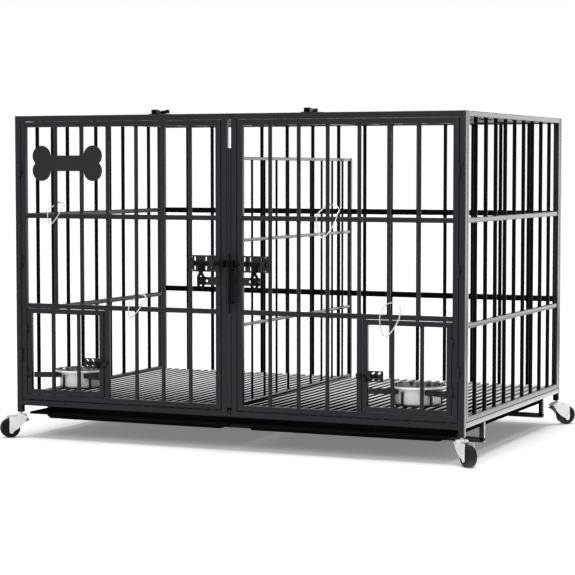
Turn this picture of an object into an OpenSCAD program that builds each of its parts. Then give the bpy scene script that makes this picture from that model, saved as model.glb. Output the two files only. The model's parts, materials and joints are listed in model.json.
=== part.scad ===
// Heavy duty dog crate with two compartments, front doors with feeding hatches, lids, trays and casters.
// Lengths are in millimetres. The origin lies on the ground under the middle of the crate.
// +Z is up and the doors face -Y. Pieces on the left are mirror images of those on the right.

/* [Crate frame] */
// Width over the corner posts
crate_w = 1220; // [1100:10:1400]
// Depth over the front and rear panels
crate_d = 816; // [740:2:920]
// Height from the ground to the top of the frame
crate_h = 832; // [800:1:900]
// Width of the square frame tube
frame_tube = 15; // [13.5:0.5:17]
// Width of the square mid rails
mid_rail = 12; // [11:0.5:13]
// Diameter of the upright bars
bar_d = 10; // [6:0.5:10.5]
// Height of the top of the base frame
floor_z = 99; // [96:0.5:108]
// Underside of the upper mid rails as a share of the crate's height
upper_rail_share = 0.6845; // [0.65:0.0005:0.72]
// Underside of the lower mid rails in the side panels as a share of the crate's height
side_lower_rail_share = 0.3858; // [0.35:0.0005:0.42]
// Height of the top rails of the side panels
side_top_rail = 13.5; // [12:0.5:16]
// Height of the bottom rails of the side panels
side_bottom_rail = 12.5; // [11:0.5:15]
// Distance between the bars of a side panel
side_bar_pitch = 77.5; // [60:0.5:90]
// Height of the mid rails of the rear panel
rear_rail_h = 15; // [12:0.5:18]
// Underside of the lower mid rail of the rear panel as a share of the crate's height
rear_lower_rail_share = 0.4038; // [0.36:0.0005:0.44]
// Underside of the upper mid rail of the rear panel as a share of the crate's height
rear_upper_rail_share = 0.6827; // [0.65:0.0005:0.72]
// Distance between the bars of the rear panel
rear_bar_pitch = 80; // [60:1:95]

/* [Floor and trays] */
// Width of a floor slat
slat_w = 12; // [8:0.5:16]
// Distance between floor slats
slat_pitch = 24; // [18:0.5:30]
// Thickness of a floor slat
slat_t = 7.5; // [5:0.5:9]
// Height of the floor's side rails
floor_rail_h = 12.5; // [11:0.5:14]
// Width of the square tube that carries the trays
tray_rail_w = 12; // [10:0.5:14]
// Height of the tray rails above the ground
tray_rail_z = 36; // [33:0.5:38]
// Distance of the tray rails from the middle of the crate
tray_rail_y = 252; // [180:1:300]
// Depth of a tray from flange to underside
tray_h = 20.7; // [14:0.1:24]
// Thickness of the tray sheet
tray_wall = 2; // [1.5:0.1:3]
// How far a tray's sides lean out
tray_flare = 8; // [4:0.5:20]
// Width of a tray's flange
tray_flange = 30; // [20:1:40]

/* [Doors] */
// Width of the slot between the centre posts
slot_w = 12; // [10:0.5:16]
// Width of the square door tube
door_tube = 14; // [12.5:0.5:15]
// Gap around a door
door_gap = 1.5; // [1:0.1:2.5]
// Underside of the rail above a feeding door
header_z = 338; // [310:1:370]
// Width of the upright beside a feeding door
jamb_w = 12.5; // [11:0.5:13.5]
// Width of the square feeding door tube
feed_tube = 12.5; // [11.5:0.5:13]
// Gap above a feeding door
feed_top_gap = 2.5; // [1.5:0.1:5]
// Height of a door hinge
hinge_h = 33; // [27:1:48]
// Diameter of a door hinge pin
hinge_pin_d = 5; // [4:0.1:6]
// Height of a feeding door hinge
feed_hinge_h = 27; // [20:1:36]
// Diameter of a feeding door hinge pin
feed_pin_d = 4; // [3:0.1:5]

/* [Latches] */
// Height of the door bolts above the ground
bolt_z = 463; // [420:1:510]
// Diameter of a door bolt
bolt_d = 8; // [6:0.1:8.6]
// Travel of a door bolt
bolt_throw = 14; // [10:0.5:15]
// Length of a door latch plate
latch_w = 84; // [80:1:88]
// Height of a door latch plate
latch_h = 41; // [40:0.5:44]
// Thickness of the latch plates
latch_t = 2.5; // [2:0.1:3]
// Diameter of the padlock hole
padlock_d = 7; // [6:0.5:7.5]
// Height of the feeding door bolts above the ground
feed_bolt_z = 202; // [180:1:260]
// Diameter of a feeding door bolt
feed_bolt_d = 6; // [5:0.1:7]
// Travel of a feeding door bolt
feed_bolt_throw = 11; // [8:0.5:12]
// Distance of a lid latch from the middle of the crate
lid_latch_x = 207; // [120:1:320]
// Width of a lid latch plate
lid_latch_w = 43; // [34:1:50]
// Diameter of a lid bolt
lid_bolt_d = 6; // [4:0.1:6.4]
// Diameter of the turning rod of the divider catch
catch_rod_d = 5; // [4:0.1:5.4]
// Length of the turning rod of the divider catch
catch_rod_l = 147; // [120:1:180]

/* [Divider] */
// Thickness of the divider's end tubes
divider_tube = 11; // [9:0.1:11.4]
// Thickness of the divider's rails
divider_rail = 8; // [7:0.1:10]
// Diameter of the divider's rods
divider_rod_d = 6; // [4:0.1:6.6]
// Distance of the divider's front tube from the top of the frame
divider_front_drop = 85; // [52:1:102]
// Distance of the divider's grille from the top of the frame
divider_drop = 106; // [104:1:142]
// Distance between the divider's rods
divider_pitch = 75.3; // [50:0.1:90]

/* [Feeding bowls] */
// Outside diameter of a bowl's body
bowl_d = 110; // [96:1:114]
// Outside diameter of a bowl's rim
bowl_rim_d = 137; // [128:1:142]
// Height of a bowl
bowl_h = 46; // [36:1:56]
// Depth of the turned edge of a bowl's rim
bowl_hem = 6; // [3:0.5:9]
// Thickness of the bowl sheet
bowl_t = 1.2; // [0.8:0.1:2]
// Height of the band that carries a bowl
band_h = 14; // [8:0.5:18]
// Thickness of the strips of the bowl holder
strip_t = 2.5; // [1.5:0.1:3]

/* [Lids] */
// Width of the square lid tube
lid_tube = 14; // [12.5:0.5:15]
// Distance between the bars of a lid
lid_bar_pitch = 73; // [55:1:90]
// Diameter of a lid hinge pin
lid_pin_d = 5; // [4:0.1:6]

/* [Fittings] */
// Length of the bone shaped plate
bone_l = 202; // [150:1:206]
// Height of the bone shaped plate
bone_h = 90; // [70:1:110]
// Thickness of the bone shaped plate
bone_t = 3; // [2:0.5:4]
// Width of a wire clip
clip_w = 55; // [46:1:60]
// Height of a wire clip
clip_h = 84; // [70:1:90]
// Diameter of the clip wire
clip_wire_d = 3; // [2:0.1:3.4]

/* [Casters] */
// Diameter of a wheel
wheel_d = 51; // [44:1:56]
// Width of a wheel
wheel_w = 22; // [16:0.5:24]
// Offset of the axle from the swivel axis
caster_trail = 29.5; // [27:0.5:32]
// Thickness of the fork sheet
fork_t = 2; // [1.5:0.1:2.5]
// Diameter of the swivel stem
stem_d = 8; // [6:0.1:9]
// Diameter of an axle
axle_d = 6; // [5:0.1:7]

/* [Hidden] */
$fn = 48;

// Finishes
charcoal = "#323338";
near_black = "#1c1d20";
zinc = "#d3d5d8";
stainless = "#dfe0e2";
black_rubber = "#26272a";

// Clearances and overruns
cut = 1;
run_fit = 0.05;
seat_gap = 0.3;
seam = 1;
slide_gap = 0.5;

// Main planes
half_w = crate_w / 2;
y_front = -crate_d / 2;
y_back = crate_d / 2;
inner_x = half_w - frame_tube;
inner_y0 = y_front + frame_tube;
inner_y1 = y_back - frame_tube;
base_z = floor_z - frame_tube;
top_inner_z = crate_h - frame_tube;
upper_rail_z = crate_h * upper_rail_share;
side_lower_rail_z = crate_h * side_lower_rail_share;
rear_lower_rail_z = crate_h * rear_lower_rail_share;
rear_upper_rail_z = crate_h * rear_upper_rail_share;
side_z = floor_z + seam;
floor_under_z = floor_z - floor_rail_h;
slat_top_z = floor_z + slat_t;

// Casters, from the ground up
crown_clear = 2;
crown_t = 3;
race_h = 4.5;
neck_h = 5.5;
race_d = 30;
crown_z = wheel_d + crown_clear;
race_z = crown_z + crown_t;
post_foot_z = race_z + race_h + neck_h;
caster_x = half_w - frame_tube / 2;
caster_y = crate_d / 2 - frame_tube / 2;
front_left_turn = -134;
front_right_turn = -41;
half_turn = 180;
rear_right_turn = front_left_turn + half_turn;
rear_left_turn = front_right_turn + half_turn;
fork_side_gap = 1;
fork_half_w = wheel_w / 2 + fork_side_gap + fork_t;
fork_lead = 15;
fork_tail = 5;
fork_nose_z = 53;
fork_waist_s = -3;
fork_waist_z = 35.4;
fork_heel_s = 8;
fork_tip_r = 5.5;
fork_tip_z = 17;
crown_tail = 9;
axle_z = wheel_d / 2;
tyre_round = 4;
brake_pin_d = 4;
brake_pin_s = -4;
brake_pin_z = 43;
brake_boss_r = 3.2;
brake_toe_s = -18;
brake_toe_z = 49;
brake_toe_t = 5;
brake_heel_s = 2.6;
brake_heel_z = 36;
brake_heel_t = 4;
brake_side_gap = 1;

// Doors
post_in_x = slot_w / 2;
post_out_x = post_in_x + frame_tube;
door_in_x = post_out_x + door_gap;
door_out_x = inner_x - door_gap;
door_z0 = floor_z + door_gap;
door_z1 = top_inner_z - door_gap;
stile_in_x = door_in_x + door_tube;
stile_out_x = door_out_x - door_tube;
sill_z = door_z0 + door_tube;
lintel_z = door_z1 - door_tube;
door_span = stile_out_x - stile_in_x;
first_bar_share = 0.1333;
bar_step_share = 0.1395;
far_bar_share = 0.0112;
jamb_share = 0.5672;
low_bar_count = 3;
last_bar = 5;
door_mid_y = y_front + door_tube / 2;
header_top_z = header_z + mid_rail;
upper_rail_top_z = upper_rail_z + mid_rail;
function door_bar_x(i) = stile_in_x + door_span
  * (first_bar_share + bar_step_share * i + (i < low_bar_count ? 0 : far_bar_share));
jamb_x0 = stile_in_x + door_span * jamb_share - jamb_w / 2;
jamb_x1 = jamb_x0 + jamb_w;
barrel_share = 0.8;
barrel_r = hinge_pin_d * barrel_share;
hinge_out = barrel_r + seat_gap;
hinge_x = (inner_x + door_out_x) / 2;
hinge_y = y_front - hinge_out;
leaf_t = 2;
leaf_w = 10;
knuckle_gap = 0.4;
hinge_shares = [0.16, 0.5, 0.83];
function hinge_z(i) = door_z0 + (door_z1 - door_z0) * hinge_shares[i];

// Feeding doors
feed_jamb_gap = 2.5;
feed_x0 = jamb_x1 + feed_jamb_gap;
feed_x1 = stile_out_x - door_gap;
feed_z0 = sill_z + door_gap;
feed_z1 = header_z - feed_top_gap;
feed_mid_x = (feed_x0 + feed_x1) / 2;
feed_back_y = y_front + feed_tube;
feed_bar_share = 1 / 6;
feed_barrel_share = 0.875;
feed_barrel_r = feed_pin_d * feed_barrel_share;
feed_hinge_x = (feed_x1 + stile_out_x) / 2;
feed_hinge_y = y_front - feed_barrel_r - seat_gap;
feed_hinge_shares = [0.237, 0.765];
function feed_hinge_z(i) = feed_z0 + (feed_z1 - feed_z0) * feed_hinge_shares[i];

// Door latches
bolt_out = 7;
bolt_y = y_front - bolt_out;
keeper_t = 11;
keeper_in = 1.5;
keeper_x0 = post_in_x + keeper_in;
keeper_wall = 4;
bolt_tip_gap = 1.5;
bolt_tip_x = keeper_x0 + keeper_t + bolt_tip_gap;
bolt_l = 88;
latch_in = 3.5;
latch_x0 = door_in_x + latch_in;
latch_x1 = latch_x0 + latch_w;
guide_w = 12;
guide_wall = 1.6;
guide_shares = [0.19, 0.833];
slot_shares = [0.22, 0.585, 0.786];
slot_cut_w = 4.4;
slot_cut_h = 11;
slot_cut_z = 11.5;
screw_hole_d = 4.5;
screw_hole_in = 10;
screw_hole_z = 17;
tongue_share = 0.5595;
tongue_x = latch_x0 + latch_w * tongue_share;
tongue_t = 3;
tongue_r = 10;
tongue_neck_w = 11;
tongue_drop = 43;
tongue_slot = 20;
strap_l = 60;
strap_h = 20;
strap_t = 3;
strap_hole_d = 5;
strap_hole_in = 6;
strap_z = bolt_z - tongue_drop;
padlock_x = tongue_x - bolt_throw;

// Feeding door latches
feed_bolt_out = 6;
feed_bolt_y = y_front - feed_bolt_out;
feed_keeper_wall = 3;
feed_keeper_x1 = jamb_x1 - seam;
feed_bolt_tip_gap = 1.5;
feed_keeper_t = feed_bolt_throw - feed_bolt_tip_gap - slide_gap;
feed_bolt_tip_x = feed_keeper_x1 + feed_bolt_tip_gap;
feed_bolt_l = 56;
feed_plate_in = 2.5;
feed_plate_x0 = feed_x0 + feed_plate_in;
feed_plate_w = 52;
feed_plate_h = 26;
feed_guide_w = 8;
feed_guide_shares = [0.36, 0.88];
feed_slot_shares = [0.514, 0.8125];
feed_slot_w = 4.4;
feed_slot_l = 8.6;
feed_slot_z = 7.8;
feed_slot_turn = 55;
feed_knob_share = 0.2;
feed_knob_w = 7;
feed_knob_d = 9;
feed_knob_drop = 9;

// Divider catch
catch_in = 1.5;
catch_x = post_in_x + catch_rod_d / 2 + catch_in;
catch_out = 18;
catch_y = y_front - catch_out;
lug_t = 4;
lug_wall = 3;
lug_top_drop = 15;
lug_low_drop = 95;
lug_top_z = bolt_z - lug_top_drop;
lug_low_z = bolt_z - lug_low_drop;
flag_t = 2;
flag_x1 = door_in_x - seam;
catch_rod_under = 25;
catch_collar_d = 8;

// Lids
lid_x0 = frame_tube / 2 + door_gap;
lid_x1 = inner_x - door_gap;
lid_y0 = inner_y0 + door_gap;
lid_y1 = inner_y1 - door_gap;
lid_z0 = crate_h - lid_tube;
lid_mid_z = crate_h - lid_tube / 2;
lid_barrel_share = 0.8;
lid_barrel_r = lid_pin_d * lid_barrel_share;
lid_hinge_y = (lid_y1 + inner_y1) / 2;
lid_hinge_z = crate_h + lid_barrel_r + seat_gap;
lid_hinge_shares = [0.2, 0.8];
function lid_hinge_x(i) = lid_x0 + (lid_x1 - lid_x0) * lid_hinge_shares[i];
lid_bolt_rise = 6;
lid_bolt_z = crate_h + lid_bolt_rise;
lid_keeper_w = 16;
lid_keeper_t = 9;
lid_keeper_in = 4;
lid_keeper_wall = 2.6;
lid_bolt_l = 44;
lid_plate_l = 44;
lid_plate_t = 2;
lid_guide_t = 5;
lid_guide_w = 13;
lid_guide_shares = [0.02, 0.84];
lid_knob_w = 5;
lid_knob_share = 0.62;

// Divider
divider_bottom_z = slat_top_z + seat_gap;
divider_back_y = inner_y1 - seam;
divider_front_z = crate_h - divider_front_drop;
divider_z = crate_h - divider_drop;
divider_first_rod = 136.9;
divider_rail_shares = [0, 0.321, 0.667, 1];
divider_front_t = 12;

// Bowls
bowl_rim_gap = 1.5;
bowl_y = feed_back_y + bowl_rim_gap + bowl_rim_d / 2;
bowl_base_t = 2.5;
bowl_z = feed_z0 + feed_tube + slide_gap + bowl_base_t + seat_gap;
bowl_top_z = bowl_z + bowl_h;
band_gap = 2.5;
band_r = bowl_d / 2 + band_gap;
band_top_z = bowl_top_z - bowl_hem - slide_gap;
band_open_turn = 54.5;
strap_w = 6;
strap_turns = [34, 106, 178, 250, 322];
base_ring_share = 0.8;

// Trays
tray_z0 = tray_rail_z + tray_rail_w + seat_gap;
tray_top_z = tray_z0 + tray_h;
tray_mid_gap = 4;
tray_x0 = tray_mid_gap;
tray_side_gap = 9;
tray_x1 = inner_x - tray_rail_w - tray_side_gap;
tray_lip_h = 6;
tray_front_in = 2;
tray_back_in = 36;
tray_y0 = y_front + tray_front_in;
tray_y1 = y_back - tray_back_in;

// Panel bolts
panel_bolt_d = 10;
panel_bolt_h = 3;
panel_bolt_socket_d = 4.5;
panel_bolt_share = 0.79;

// Bone plate and clips
bone_mid_share = 0.853;
bone_x = door_span * bar_step_share / 2 - door_bar_x(last_bar);
bone_z = door_z0 + (door_z1 - door_z0) * bone_mid_share;
bone_waist_share = 0.444;
bone_lobe_share = 0.289;
clip_rings = 40;
clip_sides = 8;
clip_rise = 29.4;
clip_taper_share = 0.4;
clip_back_y = bar_d / 2 + seat_gap + clip_wire_d / 2;
clip_front_y = -door_tube / 2 - seat_gap - clip_wire_d / 2;
feed_clip_front_y = -seat_gap - clip_wire_d / 2;
clip_top_share = 0.16;
clip_low_share = 0.3;
clip_over_shares = [0.147, 0.218, 0.133, 0.06];
clip_w_shares = [0.615, 0.61, 0.884, 0.856];
clip_h_shares = [0.673, 0.69, 0.955, 0.976];
clip_lean_shares = [0.18, 0.231, 0.153, 0.169];

// Shared shapes

module block(low, high) {
  translate(low) cube(high - low);
}

module upright(x, y, z0, z1, d) {
  translate([x, y, z0]) cylinder(d = d, h = z1 - z0);
}

module along_x(x0, x1, y, z, d) {
  translate([x0, y, z]) rotate([0, 90, 0]) cylinder(d = d, h = x1 - x0);
}

module along_y(x, y0, y1, z, d) {
  translate([x, y0, z]) rotate([-90, 0, 0]) cylinder(d = d, h = y1 - y0);
}

module mirrored() {
  mirror([1, 0, 0]) children();
}

// Upright slot with round ends, cut along Y
module upright_slot(x, z, w, h, y0, y1) {
  reach = (h - w) / 2;
  block([x - w / 2, y0, z - reach], [x + w / 2, y1, z + reach]);
  along_y(x, y0, y1, z + reach, w);
  along_y(x, y0, y1, z - reach, w);
}

// Frame

module front_post() {
  block([inner_x, y_front, post_foot_z], [half_w, inner_y0, crate_h]);
}

module front_left_post() {
  color(charcoal) mirrored() front_post();
}

module front_right_post() {
  color(charcoal) front_post();
}

module rear_post() {
  block([inner_x, inner_y1, post_foot_z], [half_w, y_back, crate_h]);
}

module rear_left_post() {
  color(charcoal) mirrored() rear_post();
}

module rear_right_post() {
  color(charcoal) rear_post();
}

module front_centre_posts() {
  color(charcoal) for (side = [-1, 1])
    translate([side * (post_in_x + frame_tube / 2) - frame_tube / 2, y_front, floor_z])
      cube([frame_tube, frame_tube, top_inner_z - floor_z]);
}

module front_rails() {
  color(charcoal) {
    block([-inner_x, y_front, top_inner_z], [inner_x, inner_y0, crate_h]);
    block([-inner_x, y_front, base_z], [inner_x, inner_y0, floor_z]);
  }
}

module rear_grille() {
  rear_mid_y = y_back - frame_tube / 2;
  pairs = floor((inner_x - bar_d - rear_bar_pitch / 2) / rear_bar_pitch);
  color(charcoal) {
    block([-inner_x, inner_y1, top_inner_z], [inner_x, y_back, crate_h]);
    block([-inner_x, inner_y1, base_z], [inner_x, y_back, floor_z]);
    for (z = [rear_upper_rail_z, rear_lower_rail_z])
      block([-inner_x, rear_mid_y - mid_rail / 2, z], [inner_x, rear_mid_y + mid_rail / 2, z + rear_rail_h]);
    for (i = [0:pairs], side = [-1, 1])
      upright(side * rear_bar_pitch * (i + 1 / 2), rear_mid_y, floor_z, top_inner_z, bar_d);
  }
}

module side_grille() {
  x_mid = half_w - frame_tube / 2;
  pairs = floor((inner_y1 - frame_tube - bar_d) / side_bar_pitch);
  for (y = [inner_y0, inner_y1 - frame_tube])
    block([inner_x, y, side_z], [half_w, y + frame_tube, crate_h]);
  block([inner_x, inner_y0, crate_h - side_top_rail], [half_w, inner_y1, crate_h]);
  block([inner_x, inner_y0, side_z], [half_w, inner_y1, side_z + side_bottom_rail]);
  for (z = [upper_rail_z, side_lower_rail_z])
    block([x_mid - mid_rail / 2, inner_y0, z], [x_mid + mid_rail / 2, inner_y1, z + mid_rail]);
  for (i = [-pairs:pairs])
    upright(x_mid, i * side_bar_pitch, side_z, crate_h - side_top_rail / 2, bar_d);
}

module left_side_grille() {
  color(charcoal) mirrored() side_grille();
}

module right_side_grille() {
  color(charcoal) side_grille();
}

module top_centre_beam() {
  color(charcoal) block([-frame_tube / 2, inner_y0, top_inner_z], [frame_tube / 2, inner_y1, crate_h]);
}

module floor_grate() {
  slats = floor((inner_x - slat_w / 2 - seam) / slat_pitch);
  color(near_black) {
    for (x = [-half_w, inner_x])
      block([x, inner_y0, floor_under_z], [x + frame_tube, inner_y1, floor_z]);
    for (y = [inner_y0 + mid_rail, 0, inner_y1 - mid_rail])
      block([-inner_x, y - mid_rail / 2, floor_under_z], [inner_x, y + mid_rail / 2, floor_z]);
    for (i = [-slats:slats])
      block([i * slat_pitch - slat_w / 2, inner_y0 + seam, floor_z],
        [i * slat_pitch + slat_w / 2, inner_y1 - seam, slat_top_z]);
  }
}

module tray_rails() {
  color(near_black) for (y = [-tray_rail_y, tray_rail_y]) {
    block([-half_w, y - tray_rail_w / 2, tray_rail_z],
      [half_w, y + tray_rail_w / 2, tray_rail_z + tray_rail_w]);
    for (x = [-half_w, half_w - tray_rail_w])
      block([x, y - tray_rail_w / 2, tray_rail_z], [x + tray_rail_w, y + tray_rail_w / 2, floor_under_z]);
  }
}

// Button head with a hex socket, standing on a face that looks along -Y
module panel_bolt() {
  rotate([90, 0, 0]) difference() {
    cylinder(d = panel_bolt_d, h = panel_bolt_h);
    translate([0, 0, panel_bolt_h / 2]) cylinder(d = panel_bolt_socket_d, h = panel_bolt_h, $fn = 6);
  }
}

module panel_bolts() {
  low_z = floor_z - frame_tube / 2;
  high_z = crate_h - frame_tube / 2;
  color(near_black) for (turn = [0, half_turn]) rotate([0, 0, turn]) {
    for (x = [-inner_x * panel_bolt_share, 0, inner_x * panel_bolt_share])
      translate([x, y_front, low_z]) panel_bolt();
    translate([0, y_front, high_z]) panel_bolt();
  }
}

module door_keeper() {
  keeper_r = bolt_d / 2 + keeper_wall;
  difference() {
    block([keeper_x0, bolt_y - keeper_r, bolt_z - keeper_r],
      [keeper_x0 + keeper_t, y_front, bolt_z + keeper_r]);
    along_x(keeper_x0 - cut, keeper_x0 + keeper_t + cut, bolt_y, bolt_z, bolt_d + 2 * slide_gap);
  }
}

module catch_lug(z) {
  difference() {
    block([post_in_x + slide_gap / 2, catch_y - catch_rod_d / 2 - lug_wall, z - lug_t / 2],
      [catch_x + catch_rod_d / 2 + lug_wall, y_front, z + lug_t / 2]);
    upright(catch_x, catch_y, z - lug_t, z + lug_t, catch_rod_d + 2 * run_fit);
  }
}

module lid_keeper() {
  keeper_y0 = y_front + lid_keeper_in;
  keeper_y1 = keeper_y0 + lid_keeper_t;
  keeper_top_z = lid_bolt_z + lid_bolt_d / 2 + lid_keeper_wall;
  difference() {
    block([lid_latch_x - lid_keeper_w / 2, keeper_y0, crate_h],
      [lid_latch_x + lid_keeper_w / 2, keeper_y1, keeper_top_z]);
    along_y(lid_latch_x, keeper_y0 - cut, keeper_y1 + cut, lid_bolt_z, lid_bolt_d + 2 * slide_gap);
  }
}

module keepers() {
  color(near_black) {
    door_keeper();
    mirrored() door_keeper();
    catch_lug(lug_top_z);
    catch_lug(lug_low_z);
    lid_keeper();
    mirrored() lid_keeper();
  }
}

// Fixed half of a door hinge: two knuckles with their leaf, and the pin through them
module door_hinge_bracket(z) {
  knuckle = hinge_h / 3;
  for (low = [z - hinge_h / 2, z + hinge_h / 2 - knuckle]) {
    upright(hinge_x, hinge_y, low, low + knuckle, 2 * barrel_r);
    block([hinge_x, y_front - leaf_t, low], [inner_x + leaf_w, y_front, low + knuckle]);
  }
  upright(hinge_x, hinge_y, z - hinge_h / 2, z + hinge_h / 2, hinge_pin_d);
}

module lid_hinge_bracket(x) {
  knuckle = hinge_h / 3;
  for (low = [x - hinge_h / 2, x + hinge_h / 2 - knuckle]) {
    along_x(low, low + knuckle, lid_hinge_y, lid_hinge_z, 2 * lid_barrel_r);
    block([low, lid_hinge_y, crate_h], [low + knuckle, inner_y1 + leaf_w, crate_h + leaf_t]);
  }
  along_x(x - hinge_h / 2, x + hinge_h / 2, lid_hinge_y, lid_hinge_z, lid_pin_d);
}

module right_hinge_brackets() {
  for (i = [0:len(hinge_shares) - 1])
    door_hinge_bracket(hinge_z(i));
  for (i = [0:len(lid_hinge_shares) - 1])
    lid_hinge_bracket(lid_hinge_x(i));
}

module hinge_brackets() {
  color(charcoal) {
    right_hinge_brackets();
    mirrored() right_hinge_brackets();
  }
}

module caster_stems() {
  color(zinc) for (x = [-caster_x, caster_x], y = [-caster_y, caster_y])
    upright(x, y, crown_z, post_foot_z, stem_d);
}

// Doors

// Turning knuckle of a door hinge, with its leaf on the door's front face
module door_knuckle(z) {
  knuckle = hinge_h / 3 - 2 * knuckle_gap;
  difference() {
    union() {
      upright(hinge_x, hinge_y, z - knuckle / 2, z + knuckle / 2, 2 * barrel_r);
      block([door_out_x - leaf_w, y_front - leaf_t, z - knuckle / 2], [hinge_x, y_front, z + knuckle / 2]);
    }
    upright(hinge_x, hinge_y, z - knuckle, z + knuckle, hinge_pin_d + 2 * run_fit);
  }
}

// Fixed half of a feeding door hinge, on the door's outer stile
module feed_hinge_bracket(z) {
  knuckle = feed_hinge_h / 3;
  for (low = [z - feed_hinge_h / 2, z + feed_hinge_h / 2 - knuckle]) {
    upright(feed_hinge_x, feed_hinge_y, low, low + knuckle, 2 * feed_barrel_r);
    block([feed_hinge_x, y_front - leaf_t, low], [stile_out_x + leaf_w, y_front, low + knuckle]);
  }
  upright(feed_hinge_x, feed_hinge_y, z - feed_hinge_h / 2, z + feed_hinge_h / 2, feed_pin_d);
}

module feed_keeper() {
  keeper_r = feed_bolt_d / 2 + feed_keeper_wall;
  keeper_x = feed_keeper_x1 - feed_keeper_t;
  difference() {
    block([keeper_x, feed_bolt_y - keeper_r, feed_bolt_z - keeper_r],
      [feed_keeper_x1, door_mid_y - jamb_w / 2, feed_bolt_z + keeper_r]);
    along_x(keeper_x - cut, feed_keeper_x1 + cut, feed_bolt_y, feed_bolt_z, feed_bolt_d + 2 * slide_gap);
  }
}

module door_frame() {
  door_y1 = y_front + door_tube;
  rail_y0 = door_mid_y - mid_rail / 2;
  rail_y1 = door_mid_y + mid_rail / 2;
  block([door_in_x, y_front, door_z0], [stile_in_x, door_y1, door_z1]);
  block([stile_out_x, y_front, door_z0], [door_out_x, door_y1, door_z1]);
  block([door_in_x, y_front, door_z0], [door_out_x, door_y1, sill_z]);
  block([door_in_x, y_front, lintel_z], [door_out_x, door_y1, door_z1]);
  block([stile_in_x, rail_y0, upper_rail_z], [stile_out_x, rail_y1, upper_rail_top_z]);
  block([stile_in_x, rail_y0, header_z], [stile_out_x, rail_y1, header_top_z]);
  block([jamb_x0, door_mid_y - jamb_w / 2, sill_z - seam],
    [jamb_x1, door_mid_y + jamb_w / 2, header_z + seam]);
  for (i = [0:len(hinge_shares) - 1])
    door_knuckle(hinge_z(i));
  for (i = [0:len(feed_hinge_shares) - 1])
    feed_hinge_bracket(feed_hinge_z(i));
  feed_keeper();
}

module left_door_frame() {
  color(charcoal) mirrored() door_frame();
}

module right_door_frame() {
  color(charcoal) door_frame();
}

module door_bars() {
  for (i = [0:last_bar]) {
    x = door_bar_x(i);
    upright(x, door_mid_y, upper_rail_top_z, lintel_z, bar_d);
    upright(x, door_mid_y, header_top_z, upper_rail_z, bar_d);
    if (i < low_bar_count) upright(x, door_mid_y, sill_z, header_z, bar_d);
  }
}

module left_door_bars() {
  color(charcoal) mirrored() door_bars();
}

module right_door_bars() {
  color(charcoal) door_bars();
}

module latch_plate() {
  plate_y0 = y_front - latch_t;
  guide_r = bolt_d / 2 + guide_wall;
  difference() {
    union() {
      block([latch_x0, plate_y0, bolt_z - latch_h / 2], [latch_x1, y_front, bolt_z + latch_h / 2]);
      for (share = guide_shares)
        translate([latch_x0 + latch_w * share - guide_w / 2, bolt_y - guide_r, bolt_z - guide_r])
          cube([guide_w, y_front - bolt_y + guide_r, 2 * guide_r]);
    }
    along_x(latch_x0 - cut, latch_x1 + cut, bolt_y, bolt_z, bolt_d + 2 * run_fit);
    for (share = slot_shares, side = [-1, 1])
      upright_slot(latch_x1 - latch_w * share, bolt_z + side * slot_cut_z, slot_cut_w, slot_cut_h,
        plate_y0 - cut, y_front + cut);
    for (side = [-1, 1])
      along_y(latch_x1 - screw_hole_in, plate_y0 - cut, y_front + cut,
        bolt_z + side * screw_hole_z, screw_hole_d);
  }
  difference() {
    block([latch_x0, y_front - strap_t, strap_z - strap_h / 2],
      [latch_x0 + strap_l, y_front, strap_z + strap_h / 2]);
    along_y(padlock_x, y_front - strap_t - cut, y_front + cut, strap_z, padlock_d);
    along_y(latch_x0 + strap_l - strap_hole_in, y_front - strap_t - cut, y_front + cut,
      strap_z, strap_hole_d);
  }
}

module left_latch_plate() {
  color(near_black) mirrored() latch_plate();
}

module right_latch_plate() {
  color(near_black) latch_plate();
}

module door_bolt() {
  tongue_y0 = bolt_y - tongue_t / 2;
  tongue_y1 = bolt_y + tongue_t / 2;
  along_x(bolt_tip_x, bolt_tip_x + bolt_l, bolt_y, bolt_z, bolt_d);
  difference() {
    union() {
      block([tongue_x - tongue_neck_w / 2, tongue_y0, strap_z],
        [tongue_x + tongue_neck_w / 2, tongue_y1, bolt_z]);
      upright_slot(tongue_x, strap_z, 2 * tongue_r, 2 * tongue_r + tongue_slot, tongue_y0, tongue_y1);
    }
    upright_slot(tongue_x, strap_z, padlock_d, padlock_d + tongue_slot, tongue_y0 - cut, tongue_y1 + cut);
  }
}

module left_door_bolt() {
  color(near_black) mirrored() door_bolt();
}

module right_door_bolt() {
  color(near_black) door_bolt();
}

// Feeding doors

module feed_knuckle(z) {
  knuckle = feed_hinge_h / 3 - 2 * knuckle_gap;
  difference() {
    union() {
      upright(feed_hinge_x, feed_hinge_y, z - knuckle / 2, z + knuckle / 2, 2 * feed_barrel_r);
      block([feed_x1 - leaf_w, y_front - leaf_t, z - knuckle / 2], [feed_hinge_x, y_front, z + knuckle / 2]);
    }
    upright(feed_hinge_x, feed_hinge_y, z - knuckle, z + knuckle, feed_pin_d + 2 * run_fit);
  }
}

module feed_door() {
  feed_mid_y = y_front + feed_tube / 2;
  for (x = [feed_x0, feed_x1 - feed_tube])
    block([x, y_front, feed_z0], [x + feed_tube, feed_back_y, feed_z1]);
  for (z = [feed_z0, feed_z1 - feed_tube])
    block([feed_x0, y_front, z], [feed_x1, feed_back_y, z + feed_tube]);
  for (side = [-1, 1])
    upright(feed_mid_x + side * (feed_x1 - feed_x0) * feed_bar_share, feed_mid_y,
      feed_z0, feed_z1 - feed_tube / 2, bar_d);
  for (i = [0:len(feed_hinge_shares) - 1])
    feed_knuckle(feed_hinge_z(i));
}

module left_feed_door() {
  color(charcoal) mirrored() feed_door();
}

module right_feed_door() {
  color(charcoal) feed_door();
}

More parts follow.
